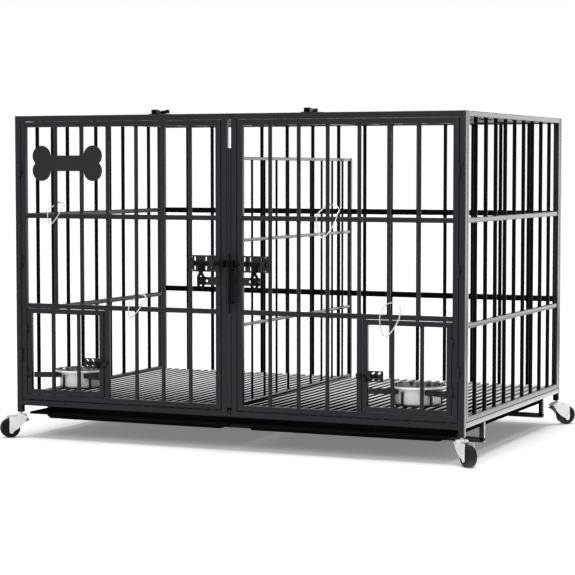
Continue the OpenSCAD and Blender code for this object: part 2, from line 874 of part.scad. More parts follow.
module feed_latch_plate() {
  plate_y0 = y_front - latch_t;
  guide_r = feed_bolt_d / 2 + guide_wall;
  difference() {
    union() {
      block([feed_plate_x0, plate_y0, feed_bolt_z - feed_plate_h / 2],
        [feed_plate_x0 + feed_plate_w, y_front, feed_bolt_z + feed_plate_h / 2]);
      for (share = feed_guide_shares)
        translate([feed_plate_x0 + feed_plate_w * share - feed_guide_w / 2, feed_bolt_y - guide_r,
          feed_bolt_z - guide_r])
          cube([feed_guide_w, y_front - feed_bolt_y + guide_r, 2 * guide_r]);
    }
    along_x(feed_plate_x0 - cut - feed_guide_w, feed_plate_x0 + feed_plate_w + cut, feed_bolt_y, feed_bolt_z,
      feed_bolt_d + 2 * run_fit);
    for (share = feed_slot_shares, side = [-1, 1])
      translate([feed_plate_x0 + feed_plate_w * share, 0, feed_bolt_z + side * feed_slot_z])
        rotate([0, feed_slot_turn, 0])
          upright_slot(0, 0, feed_slot_w, feed_slot_l, plate_y0 - cut, y_front + cut);
  }
}

module left_feed_latch_plate() {
  color(near_black) mirrored() feed_latch_plate();
}

module right_feed_latch_plate() {
  color(near_black) feed_latch_plate();
}

module feed_bolt() {
  knob_x = feed_plate_x0 + feed_plate_w * feed_knob_share;
  along_x(feed_bolt_tip_x, feed_bolt_tip_x + feed_bolt_l, feed_bolt_y, feed_bolt_z, feed_bolt_d);
  block([knob_x - feed_knob_w / 2, feed_bolt_y - tongue_t / 2, feed_bolt_z - feed_knob_drop],
    [knob_x + feed_knob_w / 2, feed_bolt_y + tongue_t / 2, feed_bolt_z]);
  along_y(knob_x, feed_bolt_y - tongue_t / 2, feed_bolt_y + tongue_t / 2, feed_bolt_z - feed_knob_drop,
    feed_knob_d);
}

module left_feed_bolt() {
  color(near_black) mirrored() feed_bolt();
}

module right_feed_bolt() {
  color(near_black) feed_bolt();
}

module ring(r, t, z0, h) {
  difference() {
    translate([0, 0, z0]) cylinder(r = r + t, h = h);
    translate([0, 0, z0 - cut]) cylinder(r = r, h = h + 2 * cut);
  }
}

// Band around the bowl with wings to the feeding door, strips down the sides and a ring under the base
module bowl_holder(turns) {
  wing_reach = feed_x1 - feed_mid_x - feed_tube;
  wing_y = feed_back_y - bowl_y;
  band_z = band_top_z - band_h;
  base_z0 = bowl_z - seat_gap - bowl_base_t;
  base_r = band_r * base_ring_share;
  band_out_r = band_r + strip_t;
  open_y = band_r * sin(band_open_turn);
  root_r = band_r + strip_t / 2;
  root_step = asin(strip_t / root_r);
  front_turn = band_open_turn - root_step;
  back_turn = front_turn - root_step;
  translate([feed_mid_x, bowl_y, 0]) {
    intersection() {
      ring(band_r, strip_t, band_z, band_h);
      block([-bowl_rim_d, -open_y, band_z - cut], [bowl_rim_d, bowl_rim_d, band_top_z + cut]);
    }
    ring(base_r, band_out_r - base_r, base_z0, bowl_base_t);
    for (side = [-1, 1])
      translate([0, 0, band_z]) linear_extrude(band_h) polygon([
        [side * root_r * cos(front_turn), -root_r * sin(front_turn)],
        [side * root_r * cos(back_turn), -root_r * sin(back_turn)],
        [side * wing_reach, wing_y],
        [side * (wing_reach - strip_t), wing_y]
      ]);
    for (turn = turns)
      rotate([0, 0, turn])
        block([band_r, -strap_w / 2, base_z0], [band_out_r, strap_w / 2, band_z + band_h / 2]);
  }
}

module left_bowl_holder() {
  color(near_black) mirrored() bowl_holder([for (turn = strap_turns) half_turn - turn]);
}

module right_bowl_holder() {
  color(near_black) bowl_holder(strap_turns);
}

module bowl() {
  body_r = bowl_d / 2;
  rim_r = bowl_rim_d / 2;
  translate([feed_mid_x, bowl_y, bowl_z]) rotate_extrude() polygon([
    [0, 0],
    [body_r - 2 * bowl_t, 0],
    [body_r, 2 * bowl_t],
    [body_r, bowl_h - bowl_t],
    [rim_r - bowl_t, bowl_h - bowl_t],
    [rim_r - bowl_t, bowl_h - bowl_hem],
    [rim_r, bowl_h - bowl_hem],
    [rim_r, bowl_h - bowl_t],
    [rim_r - bowl_t, bowl_h],
    [body_r - bowl_t, bowl_h],
    [body_r - bowl_t, 3 * bowl_t],
    [body_r - 3 * bowl_t, bowl_t],
    [0, bowl_t]
  ]);
}

module left_bowl() {
  color(stainless) mirrored() bowl();
}

module right_bowl() {
  color(stainless) bowl();
}

// Bone shaped plate and wire clips

module name_plate() {
  lobe_r = bone_h * bone_lobe_share;
  waist_h = bone_h * bone_waist_share;
  lobe_x = bone_l / 2 - lobe_r;
  lobe_z = bone_h / 2 - lobe_r;
  plate_y1 = door_mid_y - bar_d / 2 - seat_gap;
  color(near_black) translate([bone_x, 0, bone_z]) {
    block([-lobe_x, plate_y1 - bone_t, -waist_h / 2], [lobe_x, plate_y1, waist_h / 2]);
    for (x = [-lobe_x, lobe_x], z = [-lobe_z, lobe_z])
      along_y(x, plate_y1 - bone_t, plate_y1, z, 2 * lobe_r);
  }
}

// Outline of a clip from its top: a loop that narrows and leans over on the way down
function clip_x(turn, w, lean) = w / 2 * sin(turn) * (1 + clip_taper_share * cos(turn))
  + lean * (cos(turn) - 1);
function clip_z(turn, h) = h / 2 * (cos(turn) - 1);
// Share of the way from behind the bar to in front of the rail
function clip_pass(share) = share < clip_top_share ? 0
  : share > clip_low_share ? 1
  : (1 - cos(half_turn * (share - clip_top_share) / (clip_low_share - clip_top_share))) / 2;
function clip_point(i, w, h, lean, back_y, front_y) =
  let (turn = 2 * half_turn * i / clip_rings, share = -clip_z(turn, h) / h)
  [clip_x(turn, w, lean), back_y + (front_y - back_y) * clip_pass(share), clip_z(turn, h)];
function unit(v) = v / norm(v);

// Closed wire along the outline of one clip, its top at the origin and the rest below it
module wire_clip(i, back_y, front_y) {
  w = clip_w * clip_w_shares[i];
  h = clip_h * clip_h_shares[i];
  lean = clip_w * clip_lean_shares[i];
  points = [for (k = [0:clip_rings - 1]) clip_point(k, w, h, lean, back_y, front_y)];
  rings = [for (i = [0:clip_rings - 1])
    let (
      ahead = points[(i + 1) % clip_rings],
      behind = points[(i + clip_rings - 1) % clip_rings],
      along = unit(ahead - behind),
      side = unit(cross(along, [0, 1, 0])),
      up = cross(side, along)
    )
    for (k = [0:clip_sides - 1])
      let (turn = 2 * half_turn * k / clip_sides)
      points[i] + clip_wire_d / 2 * (cos(turn) * side + sin(turn) * up)];
  faces = [for (i = [0:clip_rings - 1], k = [0:clip_sides - 1])
    let (
      a = i * clip_sides + k,
      b = i * clip_sides + (k + 1) % clip_sides,
      c = ((i + 1) % clip_rings) * clip_sides + (k + 1) % clip_sides,
      d = ((i + 1) % clip_rings) * clip_sides + k
    )
    each [[a, b, c], [a, c, d]]];
  polyhedron(rings, faces);
}

// Clip hooked behind a door bar above a rail, set over to one side of the bar
module hung_clip(i, bar_x, top_z) {
  translate([bar_x + clip_over_shares[i] * clip_w, door_mid_y, top_z])
    wire_clip(i, clip_back_y, clip_front_y);
}

module left_wire_clips() {
  color(zinc) {
    hung_clip(0, -door_bar_x(last_bar), upper_rail_top_z + clip_rise);
    hung_clip(1, -door_bar_x(last_bar - low_bar_count), header_top_z + clip_rise);
  }
}

module right_wire_clips() {
  color(zinc) hung_clip(2, door_bar_x(last_bar - low_bar_count), upper_rail_top_z + clip_rise);
}

// Clip that lies in front of a feeding door's top rail and of the rail above it
module right_feed_clip() {
  clip_x0 = feed_mid_x - (feed_x1 - feed_x0) * feed_bar_share;
  color(zinc) translate([clip_x0 + clip_over_shares[3] * clip_w, y_front, header_top_z + clip_rise])
    wire_clip(3, feed_clip_front_y, feed_clip_front_y);
}

// Divider

module divider_panel() {
  rods = floor((divider_back_y - divider_tube - divider_rod_d - y_front - divider_first_rod) / divider_pitch);
  rail_y0 = y_front + divider_front_t;
  rail_rise = divider_z - divider_rail - divider_bottom_z;
  rail_zs = [for (share = divider_rail_shares) divider_bottom_z + rail_rise * share];
  color(near_black) {
    block([-divider_tube / 2, y_front, divider_bottom_z], [divider_tube / 2, rail_y0, divider_front_z]);
    block([-divider_tube / 2, divider_back_y - divider_tube, divider_bottom_z],
      [divider_tube / 2, divider_back_y, divider_z]);
    for (z = rail_zs)
      block([-divider_rail / 2, rail_y0, z], [divider_rail / 2, divider_back_y, z + divider_rail]);
    for (i = [0:rods])
      upright(0, y_front + divider_first_rod + i * divider_pitch, divider_bottom_z,
        divider_z - divider_rail / 2, divider_rod_d);
  }
}

// Turning rod with a flag that closes across the slot
module divider_catch() {
  flag_z0 = lug_low_z + lug_t / 2 + slide_gap;
  flag_z1 = lug_top_z - lug_t / 2 - slide_gap;
  rod_z0 = lug_low_z - catch_rod_under;
  color(near_black) {
    upright(catch_x, catch_y, rod_z0, rod_z0 + catch_rod_l, catch_rod_d);
    upright(catch_x, catch_y, flag_z0, flag_z1, catch_collar_d);
    block([catch_x, catch_y - flag_t / 2, flag_z0], [flag_x1, catch_y + flag_t / 2, flag_z1]);
  }
}

// Trays

module tray_shell(inset, z0, z1) {
  hull() {
    block([tray_x0 + tray_flange + tray_flare + inset, tray_y0 + tray_flange + tray_flare + inset, z0],
      [tray_x1 - tray_flange - tray_flare - inset, tray_y1 - tray_flange - tray_flare - inset,
        z0 + seat_gap]);
    block([tray_x0 + tray_flange + inset, tray_y0 + tray_flange + inset, z1 - seat_gap],
      [tray_x1 - tray_flange - inset, tray_y1 - tray_flange - inset, z1]);
  }
}

module tray() {
  difference() {
    union() {
      tray_shell(0, tray_z0, tray_top_z);
      block([tray_x0, tray_y0, tray_top_z - tray_wall], [tray_x1, tray_y1, tray_top_z]);
      block([tray_x0, tray_y0, tray_top_z - tray_lip_h], [tray_x1, tray_y0 + tray_wall, tray_top_z]);
    }
    tray_shell(tray_wall, tray_z0 + tray_wall, tray_top_z + seat_gap);
  }
}

module left_tray() {
  color(near_black) mirrored() tray();
}

module right_tray() {
  color(near_black) tray();
}

// Lids

module lid_knuckle(x) {
  knuckle = hinge_h / 3 - 2 * knuckle_gap;
  difference() {
    union() {
      along_x(x - knuckle / 2, x + knuckle / 2, lid_hinge_y, lid_hinge_z, 2 * lid_barrel_r);
      block([x - knuckle / 2, lid_y1 - leaf_w, crate_h], [x + knuckle / 2, lid_hinge_y, crate_h + leaf_t]);
    }
    along_x(x - knuckle, x + knuckle, lid_hinge_y, lid_hinge_z, lid_pin_d + 2 * run_fit);
  }
}

module lid() {
  span = lid_x1 - lid_x0 - 2 * lid_tube;
  bars = floor(span / lid_bar_pitch);
  step = span / (bars + 1);
  for (x = [lid_x0, lid_x1 - lid_tube])
    block([x, lid_y0, lid_z0], [x + lid_tube, lid_y1, crate_h]);
  for (y = [lid_y0, lid_y1 - lid_tube])
    block([lid_x0, y, lid_z0], [lid_x1, y + lid_tube, crate_h]);
  block([lid_x0, -mid_rail / 2, lid_mid_z - mid_rail / 2], [lid_x1, mid_rail / 2, lid_mid_z + mid_rail / 2]);
  for (i = [1:bars])
    along_y(lid_x0 + lid_tube + i * step, lid_y0 + lid_tube / 2, lid_y1 - lid_tube / 2, lid_mid_z, bar_d);
  for (i = [0:len(lid_hinge_shares) - 1])
    lid_knuckle(lid_hinge_x(i));
}

module left_lid() {
  color(charcoal) mirrored() lid();
}

module right_lid() {
  color(charcoal) lid();
}

module lid_latch() {
  guide_r = lid_bolt_d / 2 + guide_wall;
  difference() {
    union() {
      block([lid_latch_x - lid_latch_w / 2, lid_y0, crate_h],
        [lid_latch_x + lid_latch_w / 2, lid_y0 + lid_plate_l, crate_h + lid_plate_t]);
      for (share = lid_guide_shares)
        block([lid_latch_x - lid_guide_w / 2, lid_y0 + lid_plate_l * share, crate_h],
          [lid_latch_x + lid_guide_w / 2, lid_y0 + lid_plate_l * share + lid_guide_t, lid_bolt_z + guide_r]);
    }
    along_y(lid_latch_x, lid_y0 - cut, lid_y0 + lid_plate_l + cut, lid_bolt_z, lid_bolt_d + 2 * run_fit);
  }
}

module left_lid_latch() {
  color(near_black) mirrored() lid_latch();
}

module right_lid_latch() {
  color(near_black) lid_latch();
}

module lid_bolt() {
  knob_y = lid_y0 + lid_plate_l * lid_knob_share;
  along_y(lid_latch_x, lid_y0, lid_y0 + lid_bolt_l, lid_bolt_z, lid_bolt_d);
  block([lid_latch_x - lid_latch_w / 2, knob_y - lid_knob_w / 2, lid_bolt_z - strip_t],
    [lid_latch_x, knob_y + lid_knob_w / 2, lid_bolt_z + strip_t]);
  upright(lid_latch_x - lid_latch_w / 2 + lid_knob_w, knob_y, lid_bolt_z - strip_t, lid_bolt_z + lid_bolt_d,
    2 * lid_knob_w);
}

module left_lid_bolt() {
  color(near_black) mirrored() lid_bolt();
}

module right_lid_bolt() {
  color(near_black) lid_bolt();
}

// Casters, drawn with the swivel axis at the origin and the wheel trailing along +X

module at_caster(x, y, turn) {
  translate([x, y, 0]) rotate([0, 0, turn]) children();
}

module fork() {
  tail_s = caster_trail + fork_tail;
  tip_s = tail_s - fork_tip_r;
  difference() {
    union() {
      block([-fork_lead, -fork_half_w, crown_z], [crown_tail, fork_half_w, race_z]);
      upright(0, 0, race_z, race_z + race_h, race_d);
      for (y = [-fork_half_w, fork_half_w - fork_t]) {
        translate([0, y + fork_t, 0]) rotate([90, 0, 0]) linear_extrude(fork_t) polygon([
          [-fork_lead, race_z],
          [-fork_lead, fork_nose_z],
          [fork_waist_s, fork_waist_z],
          [fork_heel_s, axle_z],
          [tip_s - fork_tip_r, fork_tip_z],
          [tail_s, fork_tip_z],
          [tail_s, race_z]
        ]);
        along_y(tip_s, y, y + fork_t, fork_tip_z, 2 * fork_tip_r);
      }
      along_y(caster_trail, -fork_half_w, fork_half_w, axle_z, axle_d);
      along_y(brake_pin_s, -fork_half_w, fork_half_w, brake_pin_z, brake_pin_d);
    }
    upright(0, 0, crown_z - cut, race_z + race_h + cut, stem_d + 2 * run_fit);
  }
}

module wheel() {
  w = wheel_w / 2;
  r = wheel_d / 2;
  bore_r = axle_d / 2 + run_fit;
  translate([caster_trail, 0, axle_z]) rotate([90, 0, 0]) rotate_extrude() union() {
    translate([bore_r, -w]) square([r - tyre_round - bore_r, 2 * w]);
    translate([bore_r, tyre_round - w]) square([r - bore_r, 2 * (w - tyre_round)]);
    for (side = [-1, 1])
      translate([r - tyre_round, side * (w - tyre_round)]) circle(r = tyre_round);
  }
}

module brake() {
  brake_half_w = fork_half_w - fork_t - brake_side_gap;
  difference() {
    union() {
      along_y(brake_pin_s, -brake_half_w, brake_half_w, brake_pin_z, 2 * brake_boss_r);
      translate([0, brake_half_w, 0]) rotate([90, 0, 0]) linear_extrude(2 * brake_half_w) polygon([
        [brake_toe_s, brake_toe_z],
        [brake_toe_s, brake_toe_z - brake_toe_t],
        [brake_pin_s - brake_boss_r, brake_pin_z - brake_boss_r],
        [brake_heel_s - brake_heel_t, brake_heel_z],
        [brake_heel_s, brake_heel_z],
        [brake_pin_s + brake_boss_r, brake_pin_z]
      ]);
    }
    along_y(brake_pin_s, -fork_half_w, fork_half_w, brake_pin_z, brake_pin_d + 2 * run_fit);
  }
}

module front_left_fork() {
  color(zinc) at_caster(-caster_x, -caster_y, front_left_turn) fork();
}

module front_left_wheel() {
  color(black_rubber) at_caster(-caster_x, -caster_y, front_left_turn) wheel();
}

module front_left_brake() {
  color(near_black) at_caster(-caster_x, -caster_y, front_left_turn) brake();
}

module front_right_fork() {
  color(zinc) at_caster(caster_x, -caster_y, front_right_turn) fork();
}

module front_right_wheel() {
  color(black_rubber) at_caster(caster_x, -caster_y, front_right_turn) wheel();
}

module front_right_brake() {
  color(near_black) at_caster(caster_x, -caster_y, front_right_turn) brake();
}

module rear_right_fork() {
  color(zinc) at_caster(caster_x, caster_y, rear_right_turn) fork();
}

module rear_right_wheel() {
  color(black_rubber) at_caster(caster_x, caster_y, rear_right_turn) wheel();
}

module rear_right_brake() {
  color(near_black) at_caster(caster_x, caster_y, rear_right_turn) brake();
}

module rear_left_fork() {
  color(zinc) at_caster(-caster_x, caster_y, rear_left_turn) fork();
}

module rear_left_wheel() {
  color(black_rubber) at_caster(-caster_x, caster_y, rear_left_turn) wheel();
}

module rear_left_brake() {
  color(near_black) at_caster(-caster_x, caster_y, rear_left_turn) brake();
}

front_left_post();
front_right_post();
front_centre_posts();
front_rails();
rear_left_post();
rear_right_post();
rear_grille();
left_side_grille();
right_side_grille();
top_centre_beam();
floor_grate();
tray_rails();
panel_bolts();
keepers();
hinge_brackets();
caster_stems();
left_door_frame();
left_door_bars();
left_latch_plate();
left_wire_clips();
name_plate();
left_door_bolt();
left_feed_door();
left_feed_latch_plate();
left_feed_bolt();
left_bowl_holder();
left_bowl();
right_door_frame();
right_door_bars();
right_latch_plate();
right_wire_clips();
right_door_bolt();
right_feed_door();
right_feed_clip();
right_feed_latch_plate();
right_feed_bolt();
right_bowl_holder();
right_bowl();
divider_panel();
divider_catch();
left_tray();
right_tray();
left_lid();
left_lid_latch();
left_lid_bolt();
right_lid();
right_lid_latch();
right_lid_bolt();
front_left_fork();
front_left_wheel();
front_left_brake();
front_right_fork();
front_right_wheel();
front_right_brake();
rear_right_fork();
rear_right_wheel();
rear_right_brake();
rear_left_fork();
rear_left_wheel();
rear_left_brake();
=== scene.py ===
"""Looks of a heavy duty dog crate: welded tube, bars, latches, bowls, trays and casters on the CAD frame."""
import json
import logging
import math
from collections.abc import Iterable, Sequence
from dataclasses import dataclass
from enum import Enum
from functools import cache

import bmesh
import bpy
from mathutils import Matrix, Vector


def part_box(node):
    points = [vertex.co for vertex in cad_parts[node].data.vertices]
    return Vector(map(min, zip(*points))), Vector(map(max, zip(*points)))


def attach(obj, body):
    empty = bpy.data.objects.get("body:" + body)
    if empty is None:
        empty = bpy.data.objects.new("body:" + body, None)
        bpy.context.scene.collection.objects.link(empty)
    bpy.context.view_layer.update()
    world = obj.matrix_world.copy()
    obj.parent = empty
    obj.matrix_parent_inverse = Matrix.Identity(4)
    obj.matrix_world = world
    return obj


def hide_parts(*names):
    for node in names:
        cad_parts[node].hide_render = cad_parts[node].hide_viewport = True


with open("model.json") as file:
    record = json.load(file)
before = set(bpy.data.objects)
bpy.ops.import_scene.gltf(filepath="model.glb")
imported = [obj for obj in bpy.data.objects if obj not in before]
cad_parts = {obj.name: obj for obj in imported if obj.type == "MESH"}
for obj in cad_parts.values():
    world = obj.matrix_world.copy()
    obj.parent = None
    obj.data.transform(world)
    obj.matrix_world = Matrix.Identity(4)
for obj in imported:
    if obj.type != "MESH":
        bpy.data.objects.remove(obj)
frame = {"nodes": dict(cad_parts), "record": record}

LOG = logging.getLogger("crate")
SIDES = (("left", -1), ("right", 1))
TUBE_EDGE = 0.0018
QUARTER = (0.0, 0.4, 0.8, 1.2, math.pi / 2)

Point = tuple[float, float, float]
Span = tuple[float, float]
Colour = tuple[int, int, int]
Socket = bpy.types.NodeSocket


class Slot(Enum):
    """Material slots of the record."""

    FRAME = "frame_paint"
    FLOOR = "floor_paint"
    TRAY = "tray_paint"
    FITTINGS = "black_fittings"
    CLIP = "clip_wire"
    BOWL = "bowl_steel"
    ZINC = "caster_zinc"
    RUBBER = "caster_rubber"
    BRAKE = "brake_plastic"


class Look(Enum):
    """Finishes that differ from their slot's own: painted shade on bars, bolts and the bowl's inside, and a
    painted reflection on the slats.
    """

    # Near-black copy of the frame paint: painted shade.
    BAR_SHADE = "bar"
    # Near-black copy of the latch paint: painted shade.
    BOLT_SHADE = "bolt"
    SLAT = "slat"
    # Darker copy of the bowl steel: painted shade.
    BOWL_INSIDE_SHADE = "bowl_inside_painted_shade"


class Axis(Enum):
    """Direction a length of stock runs in."""

    X = 0
    Y = 1
    Z = 2

    @property
    def vector(self) -> Vector:
        """The unit vector along the axis."""
        return Vector([1.0 if i == self.value else 0.0 for i in range(3)])


def linear(colour: Colour) -> tuple[float, ...]:
    """Turns a display colour from 0 to 255 into the shader's linear colour with alpha."""
    shares = [value / 255 for value in colour]
    return (*(s / 12.92 if s <= 0.04045 else ((s + 0.055) / 1.055) ** 2.4 for s in shares), 1.0)


class Graph:
    """A node tree, and short ways to add nodes to it."""

    def __init__(self, tree: bpy.types.NodeTree) -> None:
        """Empties the tree."""
        self.tree = tree
        tree.nodes.clear()

    def join(self, socket: Socket, value: object) -> None:
        """Sets an input to a value, or links an output to it.

        Args:
            socket: the input.
            value: a value or an output.
        """
        if isinstance(value, Socket):
            self.tree.links.new(value, socket)
        else:
            socket.default_value = value

    def add(self, kind: str, **values: object) -> bpy.types.Node:
        """Adds a node.

        Args:
            kind: the node's type name.
            values: values or outputs for its inputs, by name with _ for a space.

        Returns:
            The new node.
        """
        node = self.tree.nodes.new(kind)
        for key, value in values.items():
            self.join(node.inputs[key.replace("_", " ")], value)
        return node

    def operate(self, operation: str, first: Socket, second: Socket) -> Socket:
        """Works out one value from two.

        Args:
            operation: name of the sum.
            first: first value.
            second: second value.

        Returns:
            The result's output.
        """
        node = self.add("ShaderNodeMath")
        node.operation = operation
        self.join(node.inputs[0], first)
        self.join(node.inputs[1], second)
        return node.outputs[0]

    def seen(self) -> Socket:
        """Tells rays that show a thing itself from rays that carry its light.

        Returns:
            An output that is 1 for camera, glossy and transmission rays.
        """
        path = self.add("ShaderNodeLightPath").outputs
        gloss = self.operate("MAXIMUM", path["Is Camera Ray"], path["Is Glossy Ray"])
        return self.operate("MAXIMUM", gloss, path["Is Transmission Ray"])

    def remap(self, value: Socket, low: float, high: float, start: float = 0.3, end: float = 0.7) -> Socket:
        """Maps a pattern from start and end to low and high."""
        return self.add("ShaderNodeMapRange", From_Min=start, From_Max=end, To_Min=low, To_Max=high,
                        Value=value).outputs["Result"]


class Surface(Graph):
    """A material with one principled surface, and patterns in object coordinates for it."""

    def __init__(self, name: str) -> None:
        """Starts a material.

        Args:
            name: the material's name.
        """
        self.material = bpy.data.materials.new(name)
        self.material.use_nodes = True
        super().__init__(self.material.node_tree)
        self.place = self.add("ShaderNodeTexCoord").outputs["Object"]

    def noise(self, scale: float, detail: float = 3.0, place: Socket | None = None) -> Socket:
        """A noise pattern, with its scale in patterns per metre."""
        return self.add("ShaderNodeTexNoise", Scale=scale, Detail=detail, Roughness=0.55,
                        Vector=place or self.place).outputs["Fac"]

    def cells(self, scale: float) -> Socket:
        """Rounded cells, as a hammered coat has.

        Args:
            scale: cells per metre.

        Returns:
            The distance output.
        """
        node = self.add("ShaderNodeTexVoronoi", Scale=scale, Vector=self.place)
        node.feature = "SMOOTH_F1"
        node.inputs["Smoothness"].default_value = 0.6
        return node.outputs["Distance"]

    def blend(self, share: Socket, first: Colour | Socket, second: Colour) -> Socket:
        """Mixes two colours.

        Args:
            share: how much of the second.
            first: first colour, or an output that gives it.
            second: second colour.

        Returns:
            The mixed colour's output.
        """
        node = self.add("ShaderNodeMix")
        node.data_type = "RGBA"
        self.join(node.inputs[0], share)
        self.join(node.inputs[6], first if isinstance(first, Socket) else linear(first))
        self.join(node.inputs[7], linear(second))
        return node.outputs[2]

    def edge(self, radius: float) -> tuple[Socket, Socket]:
        """Rounds sharp edges for the light, and finds them.

        Args:
            radius: radius of the rounding in metres.

        Returns:
            The rounded normal, and a value that is 1 on flat faces and lower at edges.
        """
        bevel = self.add("ShaderNodeBevel", Radius=radius)
        bevel.samples = 4
        dot = self.add("ShaderNodeVectorMath")
        dot.operation = "DOT_PRODUCT"
        self.join(dot.inputs[0], bevel.outputs["Normal"])
        self.join(dot.inputs[1], self.add("ShaderNodeNewGeometry").outputs["Normal"])
        return bevel.outputs["Normal"], dot.outputs["Value"]

    def bump(self, height: Socket, depth: float, strength: float, normal: Socket) -> Socket:
        """Turns a pattern into relief of a depth in metres, over the relief below it."""
        return self.add("ShaderNodeBump", Strength=strength, Distance=depth, Height=height,
                        Normal=normal).outputs["Normal"]

    def finish(self, **values: object) -> bpy.types.Material:
        """Adds the surface itself.

        Args:
            values: values or outputs for its inputs, by name with _ for a space.

        Returns:
            The material.
        """
        surface = self.add("ShaderNodeBsdfPrincipled", **values)
        self.add("ShaderNodeOutputMaterial", Surface=surface.outputs["BSDF"])
        return self.material


@dataclass(frozen=True)
class PaintFinish:
    """Powder coat on steel: fine hammered relief, soft gloss, and lighter edges that show wear, and on the
    tray a painted highlight.
    """

    name: str
    colour: Colour
    light: Colour
    edge_wear_and_glint: Colour
    gloss_low: float = 0.26
    gloss_high: float = 0.36
    shine: float = 0.2
    grain: float = 420.0
    grain_depth: float = 0.00008
    edge_radius: float = 0.0008

    def make(self) -> bpy.types.Material:
        """Builds the material.

        Returns:
            The new material.
        """
        graph = Surface(self.name)
        rounded, flat = graph.edge(self.edge_radius)
        drift = graph.remap(graph.noise(scale=9.0, detail=4.0), low=0.0, high=1.0)
        speck = graph.noise(scale=900.0, detail=2.0)
        # Lighter edge colour: wear on most coats, a painted highlight on the tray's folds.
        edge_wear_and_glint_mask = graph.remap(flat, low=0.45, high=0.0, start=0.75, end=0.98)
        patches = graph.remap(graph.noise(scale=60.0, detail=5.0), low=0.1, high=1.0, start=0.4, end=0.65)
        colour = graph.blend(graph.operate("MULTIPLY", edge_wear_and_glint_mask, patches),
                             graph.blend(drift, self.colour, self.light), self.edge_wear_and_glint)
        relief = graph.bump(graph.cells(self.grain), self.grain_depth, strength=0.5, normal=rounded)
        relief = graph.bump(speck, self.grain_depth / 4, strength=0.4, normal=relief)
        return graph.finish(Base_Color=colour, Specular_IOR_Level=self.shine, Normal=relief,
                            Roughness=graph.remap(speck, self.gloss_low, self.gloss_high))


@dataclass(frozen=True)
class SlatFinish:
    """Matt black coat with a painted reflection: its colour turns pale where the eye runs along the slats."""

    name: str
    colour: Colour
    # Colour of the painted reflection seen at grazing view.
    pale: Colour
    start: float = 0.70
    end: float = 0.86
    roughness: float = 0.6
    grain: float = 420.0
    grain_depth: float = 0.00006
    edge_radius: float = 0.0006

    def make(self) -> bpy.types.Material:
        """Builds the material.

        Returns:
            The new material.
        """
        graph = Surface(self.name)
        rounded, _ = graph.edge(self.edge_radius)
        # Painted reflection: the facing weight blends the colour to pale at grazing view.
        along = graph.add("ShaderNodeLayerWeight", Blend=0.5).outputs["Facing"]
        along = graph.remap(along, low=0.0, high=1.0, start=self.start, end=self.end)
        relief = graph.bump(graph.cells(self.grain), self.grain_depth, strength=0.4, normal=rounded)
        return graph.finish(Base_Color=graph.blend(along, self.colour, self.pale), Roughness=self.roughness,
                            Specular_IOR_Level=0.0, Normal=relief)


@dataclass(frozen=True)
class MetalFinish:
    """Bare or plated metal with fine brush lines or a soft cloudy plating."""

    name: str
    colour: Colour
    dull: Colour
    metallic: float = 1.0
    gloss_low: float = 0.22
    gloss_high: float = 0.36
    stretch: Point = (1.0, 1.0, 1.0)
    line_scale: float = 300.0
    line_depth: float = 0.00002
    edge_radius: float = 0.0005
    tint: float = 1.0

    def make(self) -> bpy.types.Material:
        """Builds the material.

        Returns:
            The new material.
        """
        graph = Surface(self.name)
        rounded, _ = graph.edge(self.edge_radius)
        place = graph.add("ShaderNodeMapping", Scale=self.stretch, Vector=graph.place).outputs["Vector"]
        lines = graph.noise(self.line_scale, place=place)
        cloud = graph.remap(graph.noise(scale=45.0, detail=4.0), low=0.0, high=1.0)
        return graph.finish(Base_Color=graph.blend(cloud, self.colour, self.dull), Metallic=self.metallic,
                            Specular_Tint=(self.tint, self.tint, self.tint, 1.0),
                            Roughness=graph.remap(lines, self.gloss_low, self.gloss_high),
                            Normal=graph.bump(lines, self.line_depth, strength=0.6, normal=rounded))


@dataclass(frozen=True)
class MouldedFinish:
    """Rubber or moulded plastic with a fine matt grain and scuffs."""

    name: str
    colour: Colour
    scuff: Colour
    roughness: float = 0.62
    shine: float = 0.4
    spread: float = 0.08
    grain: float = 1500.0
    grain_depth: float = 0.00005
    edge_radius: float = 0.0006

    def make(self) -> bpy.types.Material:
        """Builds the material.

        Returns:
            The new material.
        """
        graph = Surface(self.name)
        rounded, _ = graph.edge(self.edge_radius)
        scuffs = graph.remap(graph.noise(scale=70.0, detail=6.0), low=0.0, high=1.0, start=0.5, end=0.75)
        low, high = self.roughness - self.spread, self.roughness + self.spread
        dull = graph.remap(graph.noise(scale=200.0), low, high)
        grain = graph.noise(self.grain, detail=2.0)
        relief = graph.bump(grain, self.grain_depth, strength=0.6, normal=rounded)
        return graph.finish(Base_Color=graph.blend(scuffs, self.colour, self.scuff), Roughness=dull,
                            Specular_IOR_Level=self.shine, Normal=relief)


